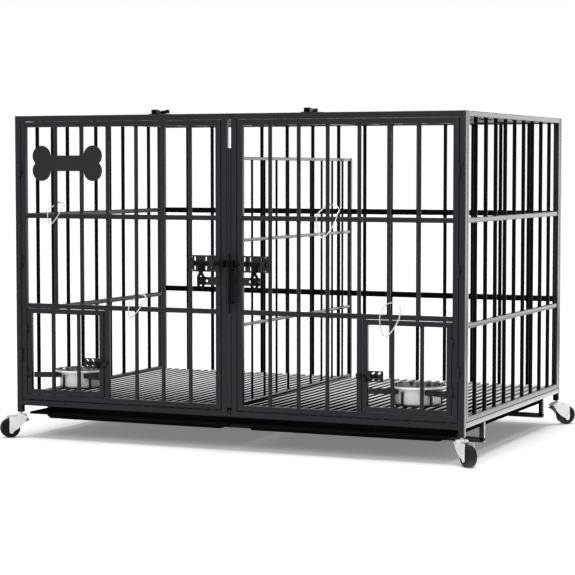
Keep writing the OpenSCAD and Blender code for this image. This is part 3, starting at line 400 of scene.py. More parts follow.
FINISHES: dict[Slot | Look, PaintFinish | SlatFinish | MetalFinish | MouldedFinish] = {
    Slot.FRAME: PaintFinish("charcoal_coat", (34, 35, 40), (39, 40, 45), (60, 62, 66), shine=0.14),
    Slot.FLOOR: PaintFinish("floor_coat", (20, 21, 23), (25, 26, 28), (48, 49, 52), 0.14, 0.22, 0.25),
    # Tray: its pale edge colour is a painted highlight for glints on the folds and corners.
    Slot.TRAY: PaintFinish("tray_coat", (15, 15, 16), (20, 20, 21), (90, 91, 93), 0.4, 0.5, 0.0, 700.0,
                           0.00005, 0.002),
    Slot.FITTINGS: PaintFinish("latch_coat", (27, 28, 30), (33, 34, 36), (58, 60, 63), 0.3, 0.42, 0.2, 600.0,
                               0.00006, 0.0005),
    Slot.CLIP: MetalFinish("bright_wire", (226, 227, 229), (200, 202, 206), 0.8, 0.14, 0.24),
    Slot.BOWL: MetalFinish("bowl_sheet", (244, 244, 245), (238, 238, 240), 0.05, 0.3, 0.42, (1.0, 1.0, 26.0),
                           60.0),
    Slot.ZINC: MetalFinish("zinc_plate", (244, 245, 246), (236, 237, 239), 0.05, 0.3, 0.44),
    Slot.RUBBER: MouldedFinish("wheel_rubber", (9, 9, 10), (20, 20, 21), 0.7, 0.2),
    Slot.BRAKE: MouldedFinish("brake_moulding", (14, 14, 15), (26, 26, 27), 0.5),
    # Painted shade: the frame paint made near-black for the rear grille, the side and divider bars, and rear
    # posts' inner faces.
    Look.BAR_SHADE: PaintFinish("bar_coat_painted_shade", (6, 6, 7), (10, 10, 11), (18, 18, 19), 0.3, 0.4, 0.04),
    # Painted shade: bolts, keepers and catch made near-black where shade outlines them.
    Look.BOLT_SHADE: PaintFinish("bolt_coat_painted_shade", (5, 5, 6), (8, 8, 9), (26, 26, 28), 0.3, 0.42, 0.08, 600.0, 0.00006,
                           0.0005),
    # Slats: black with a painted reflection at grazing view.
    Look.SLAT: SlatFinish("slat_coat_painted_reflection", (6, 6, 7), (226, 226, 227)),
    # Painted shade: darker steel for the bowl's inside and rim top.
    Look.BOWL_INSIDE_SHADE: MetalFinish("bowl_inside_painted_shade", (168, 169, 171), (26, 26, 27), 1.0, 0.14, 0.26,
                                  (1.0, 1.0, 5.0), 26.0, tint=0.15),
}

# Nodes that get the near-black painted-shade coat.
SHADED_BOLT_NODES = ("keepers", "left_door_bolt", "right_door_bolt", "left_feed_bolt", "right_feed_bolt",
              "divider_catch", "left_lid_bolt", "right_lid_bolt")


@cache
def paint(kind: Slot | Look) -> bpy.types.Material:
    """The material of a slot or of a look, built once."""
    return FINISHES[kind].make()


def dress_nodes() -> None:
    """Gives each CAD node its material, with painted shade on the bolts, keepers and catch."""
    for part in frame["record"]["subparts"]:
        mesh = frame["nodes"][part["node"]].data
        mesh.materials.clear()
        mesh.materials.append(paint(Look.BOLT_SHADE if part["node"] in SHADED_BOLT_NODES else Slot(part["material_slot"])))


def facing(way: Vector, place: Vector) -> Matrix:
    """Matrix that lays the Z axis along a direction, from a point."""
    return Matrix.Translation(place) @ way.to_track_quat("Z", "Y").to_matrix().to_4x4()


@dataclass(frozen=True)
class Stock:
    """Sizes of the tube and bar that the crate is welded from, and its main planes.

    A rail's faces lie shy of its neighbours' faces, and its ends sink or dip into them.
    """

    half_width: float = 0.610
    half_depth: float = 0.408
    top: float = 0.832
    floor: float = 0.099
    tube: float = 0.015
    rail: float = 0.012
    bar: float = 0.005
    upper_rail: float = 0.5695
    seam: float = 0.001
    shy: float = 0.0002
    sink: float = 0.0015
    dip: float = 0.001
    rail_edge: float = 0.0015

    @property
    def front(self) -> float:
        """Front face of the crate."""
        return -self.half_depth

    @property
    def inner_x(self) -> float:
        """Inner face of the side panels."""
        return self.half_width - self.tube

    @property
    def inner_y(self) -> float:
        """Inner face of the rear panel."""
        return self.half_depth - self.tube


@dataclass(frozen=True)
class Knuckle:
    """Sizes of a hinge's turning part and of its leaf."""

    bore: float = 0.00255
    radius: float = 0.004
    half: float = 0.0051
    steps: int = 28
    edge: float = 0.0004
    leaf_in: float = 0.010
    leaf_gap: float = 0.003
    leaf_t: float = 0.002
    leaf_sink: float = 0.0005
    leaf_edge: float = 0.0005

    def profile(self) -> list[Span]:
        """Works out the turned part's section.

        Returns:
            Radius and height round the section.
        """
        half, rim = self.half, self.half - self.edge
        return [(self.bore, -half), (self.radius - self.edge, -half), (self.radius, -rim), (self.radius, rim),
                (self.radius - self.edge, half), (self.bore, half), (self.bore, -half)]


@dataclass(frozen=True)
class FeedHinge:
    """Place and sizes of a feeding door's two hinges, with distances from the middle of the crate."""

    x: float = 0.57875
    out: float = 0.0038
    levels: Span = (0.16802, 0.28392)
    half: float = 0.0135
    fixed: float = 0.009
    pin: float = 0.002
    leaf: Span = (0.5815, 0.5895)
    turning: Knuckle = Knuckle(0.00205, 0.0035, 0.0041, 24, leaf_gap=0.0027)


STOCK = Stock()
FEED_HINGE = FeedHinge()


class Shape:
    """A mesh under construction, in the crate's frame, in metres."""

    weld_sides = 14
    weld_bite = 0.0001
    axis_radius = 0.00001
    merge = 0.00002
    lengthwise = 0.9
    crosswise = 0.1

    def __init__(self, sign: int = 1) -> None:
        """Starts an empty mesh whose X distances are taken to one side."""
        self.bm = bmesh.new()
        self.sign = sign

    def at(self, point: Sequence[float]) -> Vector:
        """A point on the mesh's side of the crate."""
        return Vector((self.sign * point[0], point[1], point[2]))

    @staticmethod
    def slope(edge: bmesh.types.BMEdge, way: Vector) -> float:
        """How far an edge runs along a direction, from 0 to 1."""
        return abs((edge.verts[0].co - edge.verts[1].co).normalized().dot(way))

    def soften(self, edges: Iterable[bmesh.types.BMEdge], radius: float, segments: int = 2) -> None:
        """Rounds edges to a radius, in a number of segments."""
        bmesh.ops.bevel(self.bm, geom=list(edges), offset=radius, offset_type="OFFSET", segments=segments,
                        profile=0.5, affect="EDGES", material=-1, clamp_overlap=True)

    def tube(self, low: Sequence[float], high: Sequence[float], along: Axis | None = None,
             radius: float = TUBE_EDGE, segments: int = 3) -> None:
        """Adds a straight length of square stock with rounded edges.

        Args:
            low: lowest corner.
            high: highest corner.
            along: axis whose edges are rounded, or None for all edges.
            radius: radius of the edges.
            segments: segments of the rounding.
        """
        low_v, high_v = Vector(low), Vector(high)
        verts = bmesh.ops.create_cube(self.bm, size=1.0)["verts"]
        bmesh.ops.scale(self.bm, vec=high_v - low_v, verts=verts)
        bmesh.ops.translate(self.bm, vec=self.at((low_v + high_v) / 2), verts=verts)
        edges = {edge for vert in verts for edge in vert.link_edges}
        if along is not None:
            edges = {edge for edge in edges if self.slope(edge, along.vector) > self.lengthwise}
        self.soften(edges, radius, segments)

    def rod(self, start: Sequence[float], end: Sequence[float], radius: float, sides: int = 20,
            tip: float = 0.0) -> None:
        """Adds a round rod.

        Args:
            start: one end's centre.
            end: the other end's centre.
            radius: radius of the rod.
            sides: number of sides.
            tip: radius of the end edges, 0 for sharp ends.
        """
        start_v, end_v = self.at(start), self.at(end)
        way = end_v - start_v
        verts = bmesh.ops.create_cone(self.bm, cap_ends=True, cap_tris=False, segments=sides, radius1=radius,
                                      radius2=radius, depth=way.length,
                                      matrix=facing(way, (start_v + end_v) / 2))["verts"]
        if tip > 0:
            edges = {edge for vert in verts for edge in vert.link_edges}
            rims = (edge for edge in edges if self.slope(edge, way.normalized()) < self.crosswise)
            self.soften(rims, tip)

    def bar(self, along: Axis, place: Point, levels: Sequence[float], radius: float, sides: int = 20,
            sink: float = 0.001, bead: float = 0.0016) -> None:
        """Adds a round bar with a weld bead wherever it leaves or meets a rail.

        Args:
            along: direction of the bar.
            place: a point on the bar.
            levels: where it leaves and meets rails, in turn.
            radius: radius of the bar.
            sides: number of sides.
            sink: how far its ends go into the rails.
            bead: width of the beads.
        """
        way = along.vector
        foot = Vector(place) - way * place[along.value]
        self.rod(foot + way * (levels[0] - sink), foot + way * (levels[-1] + sink), radius, sides)
        for number, level in enumerate(levels):
            away = way if number % 2 == 0 else -way
            bmesh.ops.create_cone(self.bm, cap_ends=False, segments=self.weld_sides, radius1=radius + bead,
                                  radius2=radius - self.weld_bite, depth=bead,
                                  matrix=facing(away, self.at(foot + way * level + away * bead / 2)))

    def turned(self, profile: Iterable[Span], centre: Sequence[float], way: Sequence[float],
               steps: int) -> None:
        """Adds a turned piece.

        Args:
            profile: radius and height along the axis, from one end to the other.
            centre: the axis point at height 0.
            way: direction of the axis.
            steps: number of steps round the axis.
        """
        place = facing(Vector(way), self.at(centre))
        verts = [self.bm.verts.new(place @ Vector((max(r, self.axis_radius), 0, h))) for r, h in profile]
        edges = [self.bm.edges.new(pair) for pair in zip(verts, verts[1:])]
        made = bmesh.ops.spin(self.bm, geom=verts + edges, cent=place.translation,
                              axis=place.to_3x3() @ Vector((0, 0, 1)), dvec=(0, 0, 0), angle=math.tau,
                              steps=steps, use_merge=True, use_duplicate=False)["geom_last"]
        loose = {v for v in verts if v.is_valid} | {v for v in made if isinstance(v, bmesh.types.BMVert)}
        around = {v for seed in loose for e in seed.link_edges for v in e.verts}
        bmesh.ops.remove_doubles(self.bm, verts=list(loose | around), dist=self.merge)

    def hinge(self, knuckle: Knuckle, pin: Point, edge: float) -> None:
        """Adds a turning knuckle on an upright pin, and its leaf on the front face.

        Args:
            knuckle: sizes of the hinge.
            pin: middle of the pin.
            edge: X of the door's outer edge.
        """
        x, _, z = pin
        near, far = STOCK.front - knuckle.leaf_t, STOCK.front + knuckle.leaf_sink
        self.turned(knuckle.profile(), pin, (0, 0, 1), knuckle.steps)
        self.tube((edge - knuckle.leaf_in, near, z - knuckle.half),
                  (x - knuckle.leaf_gap, far, z + knuckle.half), None, knuckle.leaf_edge)

    def piece(self, name: str, body: str, slot: Slot, stands_for: Iterable[str] = (),
              smooth_angle: float = 34.0, look: Look | None = None) -> bpy.types.Object:
        """Closes the mesh and makes it a piece of the crate.

        Args:
            name: the piece's name.
            body: CAD body that it rides on.
            slot: material slot.
            stands_for: CAD nodes that it replaces.
            smooth_angle: edges sharper than this stay sharp, in degrees.
            look: finish that differs from the slot's own.

        Returns:
            The new object.
        """
        bmesh.ops.recalc_face_normals(self.bm, faces=self.bm.faces[:])
        mesh = bpy.data.meshes.new(name)
        self.bm.to_mesh(mesh)
        self.bm.free()
        mesh.shade_smooth()
        mesh.set_sharp_from_angle(angle=math.radians(smooth_angle))
        mesh.materials.append(paint(look or slot))
        made = bpy.data.objects.new(name, mesh)
        bpy.context.scene.collection.objects.link(made)
        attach(made, body)
        for node in stands_for:
            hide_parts(node)
        LOG.info("%s: %d faces on %s", name, len(mesh.polygons), body)
        return made


@dataclass
class Sided:
    """A sub-assembly that the crate has once at each side."""

    name: str
    sign: int


@dataclass
class CornerFrame:
    """Posts, front rails, centre posts and top beam of the crate."""

    post_edge: float = 0.0016
    cap: float = 0.002
    cap_inset: float = 0.0004
    cap_overlap: float = 0.001
    cap_edge: float = 0.0008
    centre_posts: Span = (0.006, 0.021)
    shade_tilt: float = 0.5

    def build(self) -> None:
        """Builds the posts and rails."""
        for end in ("front", "rear"):
            for side, _ in SIDES:
                self.build_post(f"{end}_{side}_post", end == "rear")
        shy, sink = STOCK.shy, STOCK.sink
        front, back = STOCK.front, STOCK.front + STOCK.tube
        reach = STOCK.inner_x + sink
        shape = Shape()
        for low in (STOCK.top - STOCK.tube, STOCK.floor - STOCK.tube):
            shape.tube((-reach, front + shy, low + shy), (reach, back - shy, low + STOCK.tube - shy), Axis.X)
        shape.piece("front_rail_tubes", "crate", Slot.FRAME, ["front_rails"])
        shape = Shape()
        for _, sign in SIDES:
            shape.sign = sign
            shape.tube((self.centre_posts[0], front + 2 * shy, STOCK.floor - sink),
                       (self.centre_posts[1], back - 2 * shy, STOCK.top - STOCK.tube + sink), Axis.Z)
        shape.piece("centre_post_tubes", "crate", Slot.FRAME, ["front_centre_posts"])
        shape = Shape()
        low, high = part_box("top_centre_beam")
        shape.tube((low[0], low[1] - sink, low[2] + 2 * shy),
                   (high[0], high[1] + sink, high[2] - 2 * shy), Axis.Y)
        shape.piece("top_beam_tube", "crate", Slot.FRAME, ["top_centre_beam"])

    def build_post(self, name: str, rear: bool) -> None:
        """Builds a corner post with its foot cap, and painted shade on a rear post's face towards the inside.

        Args:
            name: the post's CAD node.
            rear: whether its face inside the crate gets painted shade.
        """
        low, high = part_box(name)
        inset, cap = self.cap_inset, low[2] + self.cap
        shape = Shape()
        shape.tube((low[0], low[1], cap), high, None, self.post_edge)
        shape.tube((low[0] + inset, low[1] + inset, low[2]),
                   (high[0] - inset, high[1] - inset, cap + self.cap_overlap), None, self.cap_edge, 2)
        made = shape.piece(f"{name}_tube", "crate", Slot.FRAME, [name])
        # A rear post's face towards the inside gets the near-black painted-shade coat.
        made.data.materials.append(paint(Look.BAR_SHADE))
        for face in made.data.polygons:
            face.material_index = int(rear and face.normal.y < -self.shade_tilt)


@dataclass
class RearPanel:
    """Welded grille at the back."""

    pitch: float = 0.080
    pairs: int = 7
    rail_h: float = 0.015
    rails: Span = (0.336, 0.568)

    def build(self) -> None:
        """Builds the grille."""
        shy = STOCK.shy
        back, front = STOCK.half_depth, STOCK.inner_y
        middle, half = (back + front) / 2, STOCK.rail / 2
        reach, head = STOCK.inner_x + STOCK.sink, STOCK.top - STOCK.tube
        shape = Shape()
        for low in (STOCK.floor - STOCK.tube, head):
            shape.tube((-reach, front + shy, low + shy), (reach, back - shy, low + STOCK.tube - shy), Axis.X)
        for low in self.rails:
            shape.tube((-reach, middle - half, low), (reach, middle + half, low + self.rail_h), Axis.X,
                       STOCK.rail_edge)
        levels = [STOCK.floor, *(z for low in self.rails for z in (low, low + self.rail_h)), head]
        for index in range(self.pairs):
            for _, sign in SIDES:
                shape.sign = sign
                shape.bar(Axis.Z, (self.pitch * (index + 0.5), middle, 0), levels, STOCK.bar)
        # The rear grille gets the near-black painted-shade coat.
        shape.piece("rear_panel", "crate", Slot.FRAME, ["rear_grille"], look=Look.BAR_SHADE)


@dataclass
class SidePanel(Sided):
    """Welded grille at one side."""

    pitch: float = 0.0775
    pairs: int = 4
    top_rail: float = 0.0135
    bottom_rail: float = 0.0125
    rails: Span = (0.321, 0.5695)

    def build(self) -> None:
        """Builds the grille."""
        shy = STOCK.shy
        low_x, high_x = STOCK.inner_x, STOCK.half_width
        middle, half = (low_x + high_x) / 2, STOCK.rail / 2
        bottom, end = STOCK.floor + STOCK.seam, STOCK.inner_y
        reach = end - STOCK.tube + STOCK.dip
        shape = Shape(self.sign)
        for y in (-end, end - STOCK.tube):
            shape.tube((low_x, y, bottom), (high_x, y + STOCK.tube, STOCK.top))
        for low, height in ((bottom, self.bottom_rail), (STOCK.top - self.top_rail, self.top_rail)):
            shape.tube((low_x + shy, -reach, low + shy), (high_x - shy, reach, low + height - shy), Axis.Y)
        for low in self.rails:
            shape.tube((middle - half, -reach, low), (middle + half, reach, low + STOCK.rail), Axis.Y,
                       STOCK.rail_edge)
        shape.piece(f"{self.name}_side_panel", "crate", Slot.FRAME, [f"{self.name}_side_grille"])
        shape = Shape(self.sign)
        levels = [bottom + self.bottom_rail, *(z for low in self.rails for z in (low, low + STOCK.rail)),
                  STOCK.top - self.top_rail]
        for index in range(-self.pairs, self.pairs + 1):
            shape.bar(Axis.Z, (middle, index * self.pitch, 0), levels, STOCK.bar)
        # The side bars get the near-black painted-shade coat.
        shape.piece(f"{self.name}_side_bars", "crate", Slot.FRAME, look=Look.BAR_SHADE)


@dataclass
class Base:
    """Slatted floor and the tubes that carry the trays."""

    under: float = 0.0865
    cross_edge: float = 0.0012
    slat: float = 0.012
    slat_t: float = 0.0075
    slat_edge: float = 0.0014
    pitch: float = 0.024
    slats: int = 24
    rail_y: float = 0.252
    rail_w: float = 0.012
    rail_z: float = 0.036
    rail_edge: float = 0.0016
    leg_rise: float = 0.004

    def build(self) -> None:
        """Builds the floor and tray rails."""
        self.build_floor()
        half, edge = self.rail_w / 2, self.rail_edge
        shape = Shape()
        for y in (-self.rail_y, self.rail_y):
            shape.tube((-STOCK.half_width, y - half, self.rail_z),
                       (STOCK.half_width, y + half, self.rail_z + self.rail_w), None, edge)
            for _, sign in SIDES:
                shape.sign = sign
                shape.tube((STOCK.half_width - self.rail_w, y - half, self.rail_z + self.leg_rise),
                           (STOCK.half_width, y + half, self.under), Axis.Z, edge)
        shape.piece("tray_rail_tubes", "crate", Slot.FLOOR, ["tray_rails"])

    def build_floor(self) -> None:
        """Builds the floor's rails and its slats."""
        half = STOCK.rail / 2
        shape = Shape()
        for _, sign in SIDES:
            shape.sign = sign
            shape.tube((STOCK.inner_x, -STOCK.inner_y, self.under),
                       (STOCK.half_width, STOCK.inner_y, STOCK.floor), Axis.Y)
        cross, reach = STOCK.inner_y - STOCK.rail, STOCK.inner_x + STOCK.dip
        for y in (-cross, 0.0, cross):
            shape.tube((-reach, y - half, self.under), (reach, y + half, STOCK.floor + STOCK.shy), Axis.X,
                       self.cross_edge, 2)
        shape.piece("floor_rails", "crate", Slot.FLOOR, ["floor_grate"])
        shape = Shape()
        end = STOCK.inner_y - STOCK.seam
        for index in range(-self.slats, self.slats + 1):
            x = index * self.pitch
            shape.tube((x - self.slat / 2, -end, STOCK.floor),
                       (x + self.slat / 2, end, STOCK.floor + self.slat_t), None, self.slat_edge, 2)
        shape.piece("floor_slats", "crate", Slot.FLOOR, look=Look.SLAT)


@dataclass
class Tray(Sided):
    """Pull-out sheet tray with sloping sides and a folded rim."""

    flange: float = 0.030
    flare: float = 0.008
    sheet: float = 0.0016
    lip: float = 0.006
    fold: float = 0.0025

    def build(self) -> None:
        """Builds the tray."""
        node = f"{self.name}_tray"
        low, high = (Vector(corner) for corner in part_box(node))
        centre, half = (low + high) / 2, (high - low) / 2
        loops = [(self.flange + self.flare, low.z + self.sheet), (self.flange, high.z), (0.0, high.z),
                 (0.0, high.z - self.lip)]
        shape = Shape()
        bm = shape.bm
        verts = bmesh.ops.create_grid(bm, x_segments=1, y_segments=1, size=1.0)["verts"]
        edges, now = bm.edges[:], Vector((1.0, 1.0, 0.0))
        for number, (inset, height) in enumerate(loops):
            if number > 0:
                made = bmesh.ops.extrude_edge_only(bm, edges=edges)["geom"]
                edges = [e for e in made if isinstance(e, bmesh.types.BMEdge)]
                verts = [v for v in made if isinstance(v, bmesh.types.BMVert)]
            goal = Vector((half.x - inset, half.y - inset, height))
            bmesh.ops.scale(bm, vec=(goal.x / now.x, goal.y / now.y, 1.0), verts=verts)
            bmesh.ops.translate(bm, vec=(0.0, 0.0, goal.z - now.z), verts=verts)
            now = goal
        bmesh.ops.translate(bm, vec=(centre.x, centre.y, 0.0), verts=bm.verts[:])
        bmesh.ops.recalc_face_normals(bm, faces=bm.faces[:])
        shape.soften((edge for edge in bm.edges if len(edge.link_faces) == 2), self.fold, 3)
        bmesh.ops.solidify(bm, geom=bm.faces[:], thickness=self.sheet)
        shape.piece(f"{node}_sheet", node, Slot.TRAY, [node])


@dataclass
class Door(Sided):
    """Front door: welded frame, bars, hinge knuckles and what the feeding door hangs and locks on."""

    tube: float = 0.014
    inner: float = 0.0225
    outer: float = 0.5935
    low: float = 0.1005
    high: float = 0.8163
    header: float = 0.338
    jamb: float = 0.34449
    jamb_w: float = 0.0125
    first_share: float = 0.1333
    step_share: float = 0.1395
    far_share: float = 0.0112
    low_bars: int = 3
    bars: int = 6
    hinge_x: float = 0.59425
    hinge_y: float = -0.4123
    hinges: Point = (0.2149, 0.458, 0.69395)
    keeper_x: Span = (0.34074, 0.34974)
    keeper_z: float = 0.202
    keeper_half: float = 0.006
    keeper_hole: float = 0.0035
    keeper_edge: float = 0.0006

    def bar_x(self, index: int) -> float:
        """Distance of a bar from the middle of the crate."""
        share = self.first_share + self.step_share * index + self.far_share * (index >= self.low_bars)
        return self.inner + self.tube + (self.outer - self.inner - 2 * self.tube) * share

    def build(self) -> None:
        """Builds the frame with its fittings, and the bars."""
        tube, shy = self.tube, STOCK.shy
        front, back = STOCK.front, STOCK.front + tube
        middle, half, jamb = (front + back) / 2, STOCK.rail / 2, self.jamb_w / 2
        start, end = self.inner + tube - STOCK.sink, self.outer - tube + STOCK.sink
        shape = Shape(self.sign)
        for near in (self.inner, self.outer - tube):
            shape.tube((near, front, self.low), (near + tube, back, self.high))
        for bottom in (self.low, self.high - tube):
            shape.tube((start, front + shy, bottom + shy), (end, back - shy, bottom + tube - shy), Axis.X)
        for bottom in (self.header, STOCK.upper_rail):
            shape.tube((start, middle - half, bottom), (end, middle + half, bottom + STOCK.rail), Axis.X,
                       STOCK.rail_edge)
        shape.tube((self.jamb - jamb, middle - jamb, self.low + tube - STOCK.dip),
                   (self.jamb + jamb, middle + jamb, self.header + STOCK.dip), Axis.Z, STOCK.rail_edge)
        for z in self.hinges:
            shape.hinge(Knuckle(), (self.hinge_x, self.hinge_y, z), self.outer)
        self.carry_feed_door(shape)
        body = f"{self.name}_door"
        shape.piece(f"{body}_tubes", body, Slot.FRAME, [f"{body}_frame"])
        shape = Shape(self.sign)
        upper = STOCK.upper_rail
        for index in range(self.bars):
            spans = [(self.header + STOCK.rail, upper), (upper + STOCK.rail, self.high - tube)]
            if index < self.low_bars:
                spans.append((self.low + tube, self.header))
            for levels in spans:
                shape.bar(Axis.Z, (self.bar_x(index), middle, 0), levels, STOCK.bar)
        shape.piece(f"{body}_rods", body, Slot.FRAME, [f"{body}_bars"])

    def carry_feed_door(self, shape: Shape) -> None:
        """Adds the fixed knuckles, pins and the keeper of the feeding door.

        Args:
            shape: mesh to add to.
        """
        front, hinge, turning = STOCK.front, FEED_HINGE, FEED_HINGE.turning
        x, y = hinge.x, front - hinge.out
        near, far = front - turning.leaf_t, front + turning.leaf_sink
        for z in hinge.levels:
            for low in (z - hinge.half, z + hinge.half - hinge.fixed):
                shape.rod((x, y, low), (x, y, low + hinge.fixed), turning.radius, turning.steps, turning.edge)
                shape.tube((hinge.leaf[0], near, low), (hinge.leaf[1], far, low + hinge.fixed), None,
                           turning.leaf_edge)
            shape.rod((x, y, z - hinge.half), (x, y, z + hinge.half), hinge.pin)
        half, hole, z = self.keeper_half, self.keeper_hole, self.keeper_z
        inside, outside = front - half - hole, front - 2 * half
        for back, low, high in ((front + STOCK.sink, -half, -hole), (front + STOCK.sink, hole, half),
                                (inside, -half, half)):
            shape.tube((self.keeper_x[0], outside, z + low), (self.keeper_x[1], back, z + high), None,
                       self.keeper_edge)


@dataclass
class FeedDoor(Sided):
    """Small hinged door with bars, in the lower outer corner of a front door."""

    tube: float = 0.0125
    edge: float = 0.0016
    inner: float = 0.35324
    outer: float = 0.578
    low: float = 0.1152
    high: float = 0.3367
    bar_share: float = 1 / 6

    def build(self) -> None:
        """Builds the feeding door."""
        tube, shy = self.tube, STOCK.shy
        front, back = STOCK.front, STOCK.front + tube
        start, end = self.inner + tube - STOCK.sink, self.outer - tube + STOCK.sink
        shape = Shape(self.sign)
        for near in (self.inner, self.outer - tube):
            shape.tube((near, front, self.low), (near + tube, back, self.high), None, self.edge)
        for bottom in (self.low, self.high - tube):
            shape.tube((start, front + shy, bottom + shy), (end, back - shy, bottom + tube - shy), Axis.X,
                       self.edge)
        middle, step = (self.inner + self.outer) / 2, (self.outer - self.inner) * self.bar_share
        for x in (middle - step, middle + step):
            shape.bar(Axis.Z, (x, (front + back) / 2, 0), (self.low + tube, self.high - tube), STOCK.bar)
        for z in FEED_HINGE.levels:
            shape.hinge(FEED_HINGE.turning, (FEED_HINGE.x, front - FEED_HINGE.out, z), self.outer)
        body = f"{self.name}_feed"
        shape.piece(f"{body}_door_tubes", body, Slot.FRAME, [f"{body}_door"])


@dataclass
class Bowl(Sided):
    """Wide-rimmed feeding bowl of thin steel sheet."""

    centre_x: float = 0.46562
    centre_y: float = -0.3255
    base: float = 0.1318
    body: float = 0.055
    rim: float = 0.0685
    height: float = 0.046
    hem: float = 0.006
    hem_round: float = 0.0003
    sheet: float = 0.0012
    corner: float = 0.005
    bend: float = 0.004
    foot: float = 0.02
    foot_rise: float = 0.0004
    roll: float = 0.0018
    neck: tuple[Span, ...] = ((0.0, 0.004), (0.0006, 0.0027), (0.002, 0.0024))
    throat: tuple[Span, ...] = ((0.0016, 0.0), (0.0005, 0.0006), (0.0, 0.002))
    steps: int = 72
    wall_lean: float = 0.2
    flat_tilt: float = 0.8

    def profile(self) -> list[Span]:
        """Works out the bowl's section.

        Returns:
            Radius and height from the middle of the underside, over the rim, to the middle of the inside.
        """
        body, rim, height, sheet, corner = self.body, self.rim, self.height, self.sheet, self.corner
        curve = [(body - corner + corner * math.sin(a), corner - corner * math.cos(a)) for a in QUARTER]
        inner = [(r - sheet if r > body - self.bend else r, h + sheet) for r, h in reversed(curve)]
        hem, roll, under = height - self.hem, self.roll, rim - sheet
        brim = [(under - roll, height - sheet), (under, height - sheet - roll), (under, hem + self.hem_round),
                (rim - sheet / 2, hem), (rim, hem + self.hem_round), (rim, height - 2 * roll)]
        brim += [(rim - 2 * roll * (1 - math.cos(a)), height - 2 * roll * (1 - math.sin(a)))
                 for a in QUARTER[1:]]
        neck = [(body + out, height - down) for out, down in self.neck]
        throat = [(body - sheet + out, height - down) for out, down in self.throat]
        return [(0.0, 0.0), (body - self.foot, 0.0), *curve, *neck, *brim, *throat, *inner,
                (body - self.foot, sheet + self.foot_rise), (0.0, sheet)]

    def build(self) -> None:
        """Builds the bowl, with painted shade on its inside and rim top."""
        node = f"{self.name}_bowl"
        axis = Vector((self.sign * self.centre_x, self.centre_y, self.base))
        shape = Shape()
        shape.turned(self.profile(), axis, (0, 0, 1), self.steps)
        made = shape.piece(f"{node}_sheet", node, Slot.BOWL, [node])
        made.data.materials.append(paint(Look.BOWL_INSIDE_SHADE))
        # Faces inside the bowl and on the rim top get the painted-shade material.
        for face in made.data.polygons:
            outward = (face.center - axis).to_2d()
            wall = face.normal.to_2d().dot(outward) < -self.wall_lean * outward.length
            inside = (wall or face.normal.z > self.flat_tilt) and face.center.z > self.base + self.sheet / 2
            face.material_index = int(inside)


@dataclass
class Divider:
    """Sliding grille between the compartments."""

    tube: float = 0.0055
    tube_edge: float = 0.0014
    front_d: float = 0.012
    rail: float = 0.008
    rail_edge: float = 0.0012
    rod: float = 0.003
    rod_sides: int = 16
    rod_sink: float = 0.004
    bead: float = 0.001
    front_top: float = 0.747
    top: float = 0.726
    first_rod: float = 0.1369
    pitch: float = 0.0753
    rods: int = 9
    levels: tuple[float, ...] = (0.1068, 0.303, 0.51447, 0.718)

    def build(self) -> None:
        """Builds the divider."""
        tube, bottom, half = self.tube, self.levels[0], self.rail / 2
        front, back = STOCK.front, STOCK.inner_y - STOCK.seam
        rail_start, rail_end = front + self.front_d - STOCK.dip, back - 2 * tube + STOCK.dip
        shape = Shape()
        shape.tube((-tube, front, bottom), (tube, front + self.front_d, self.front_top), None, self.tube_edge)
        shape.tube((-tube, back - 2 * tube, bottom), (tube, back, self.top), None, self.tube_edge)
        for low in self.levels:
            shape.tube((-half, rail_start, low), (half, rail_end, low + self.rail), Axis.Y, self.rail_edge, 2)
        shape.piece("divider_rails", "divider", Slot.FLOOR, ["divider_panel"])
        shape = Shape()
        welds = [z for low in self.levels for z in (low, low + self.rail)][1:-1]
        for index in range(self.rods):
            y = front + self.first_rod + index * self.pitch
            shape.bar(Axis.Z, (0, y, 0), welds, self.rod, self.rod_sides, self.rod_sink, self.bead)
        # The divider rods get the near-black painted-shade coat.
        shape.piece("divider_rods", "divider", Slot.FLOOR, look=Look.BAR_SHADE)


@dataclass
class Lid(Sided):
    """Top lid: frame, cross rail and bars, hinged at the back."""

    tube: float = 0.014
    inner: float = 0.009
    outer: float = 0.5935
    end: float = 0.3915
    bars: int = 7
    hinge_shares: Span = (0.2, 0.8)
    hinge_y: float = 0.39225
    hinge_z: float = 0.8363

    def build(self) -> None:
        """Builds the lid."""
        tube, shy = self.tube, STOCK.shy
        top, low, width = STOCK.top, STOCK.top - tube, self.outer - self.inner
        middle, half = top - tube / 2, STOCK.rail / 2
        start, end = self.inner + tube - STOCK.sink, self.outer - tube + STOCK.sink
        shape = Shape(self.sign)
        for near in (self.inner, self.outer - tube):
            shape.tube((near, -self.end, low), (near + tube, self.end, top))
        for y in (-self.end, self.end - tube):
            shape.tube((start, y + shy, low + shy), (end, y + tube - shy, top - shy), Axis.X)
        shape.tube((start, -half, middle - half), (end, half, middle + half), Axis.X, STOCK.rail_edge)
        limit = self.end - tube
        for index in range(1, self.bars + 1):
            x = self.inner + tube + (width - 2 * tube) * index / (self.bars + 1)
            shape.bar(Axis.Y, (x, 0, middle), (-limit, -half, half, limit), STOCK.bar)
        knuckle = Knuckle()
        for share in self.hinge_shares:
            x = self.inner + width * share
            shape.turned(knuckle.profile(), (x, self.hinge_y, self.hinge_z), (1, 0, 0), knuckle.steps)
            shape.tube((x - knuckle.half, self.end - knuckle.leaf_in, top - knuckle.leaf_sink),
                       (x + knuckle.half, self.hinge_y - knuckle.leaf_gap, top + knuckle.leaf_t), None,
                       knuckle.leaf_edge)
        shape.piece(f"{self.name}_lid_tubes", f"{self.name}_lid", Slot.FRAME, [f"{self.name}_lid"])


@dataclass(frozen=True)
class Boss:
    """A round or six-sided end on a fork's side."""

    back: float
    proud: float
    radius: float
    sides: int
    edge: float


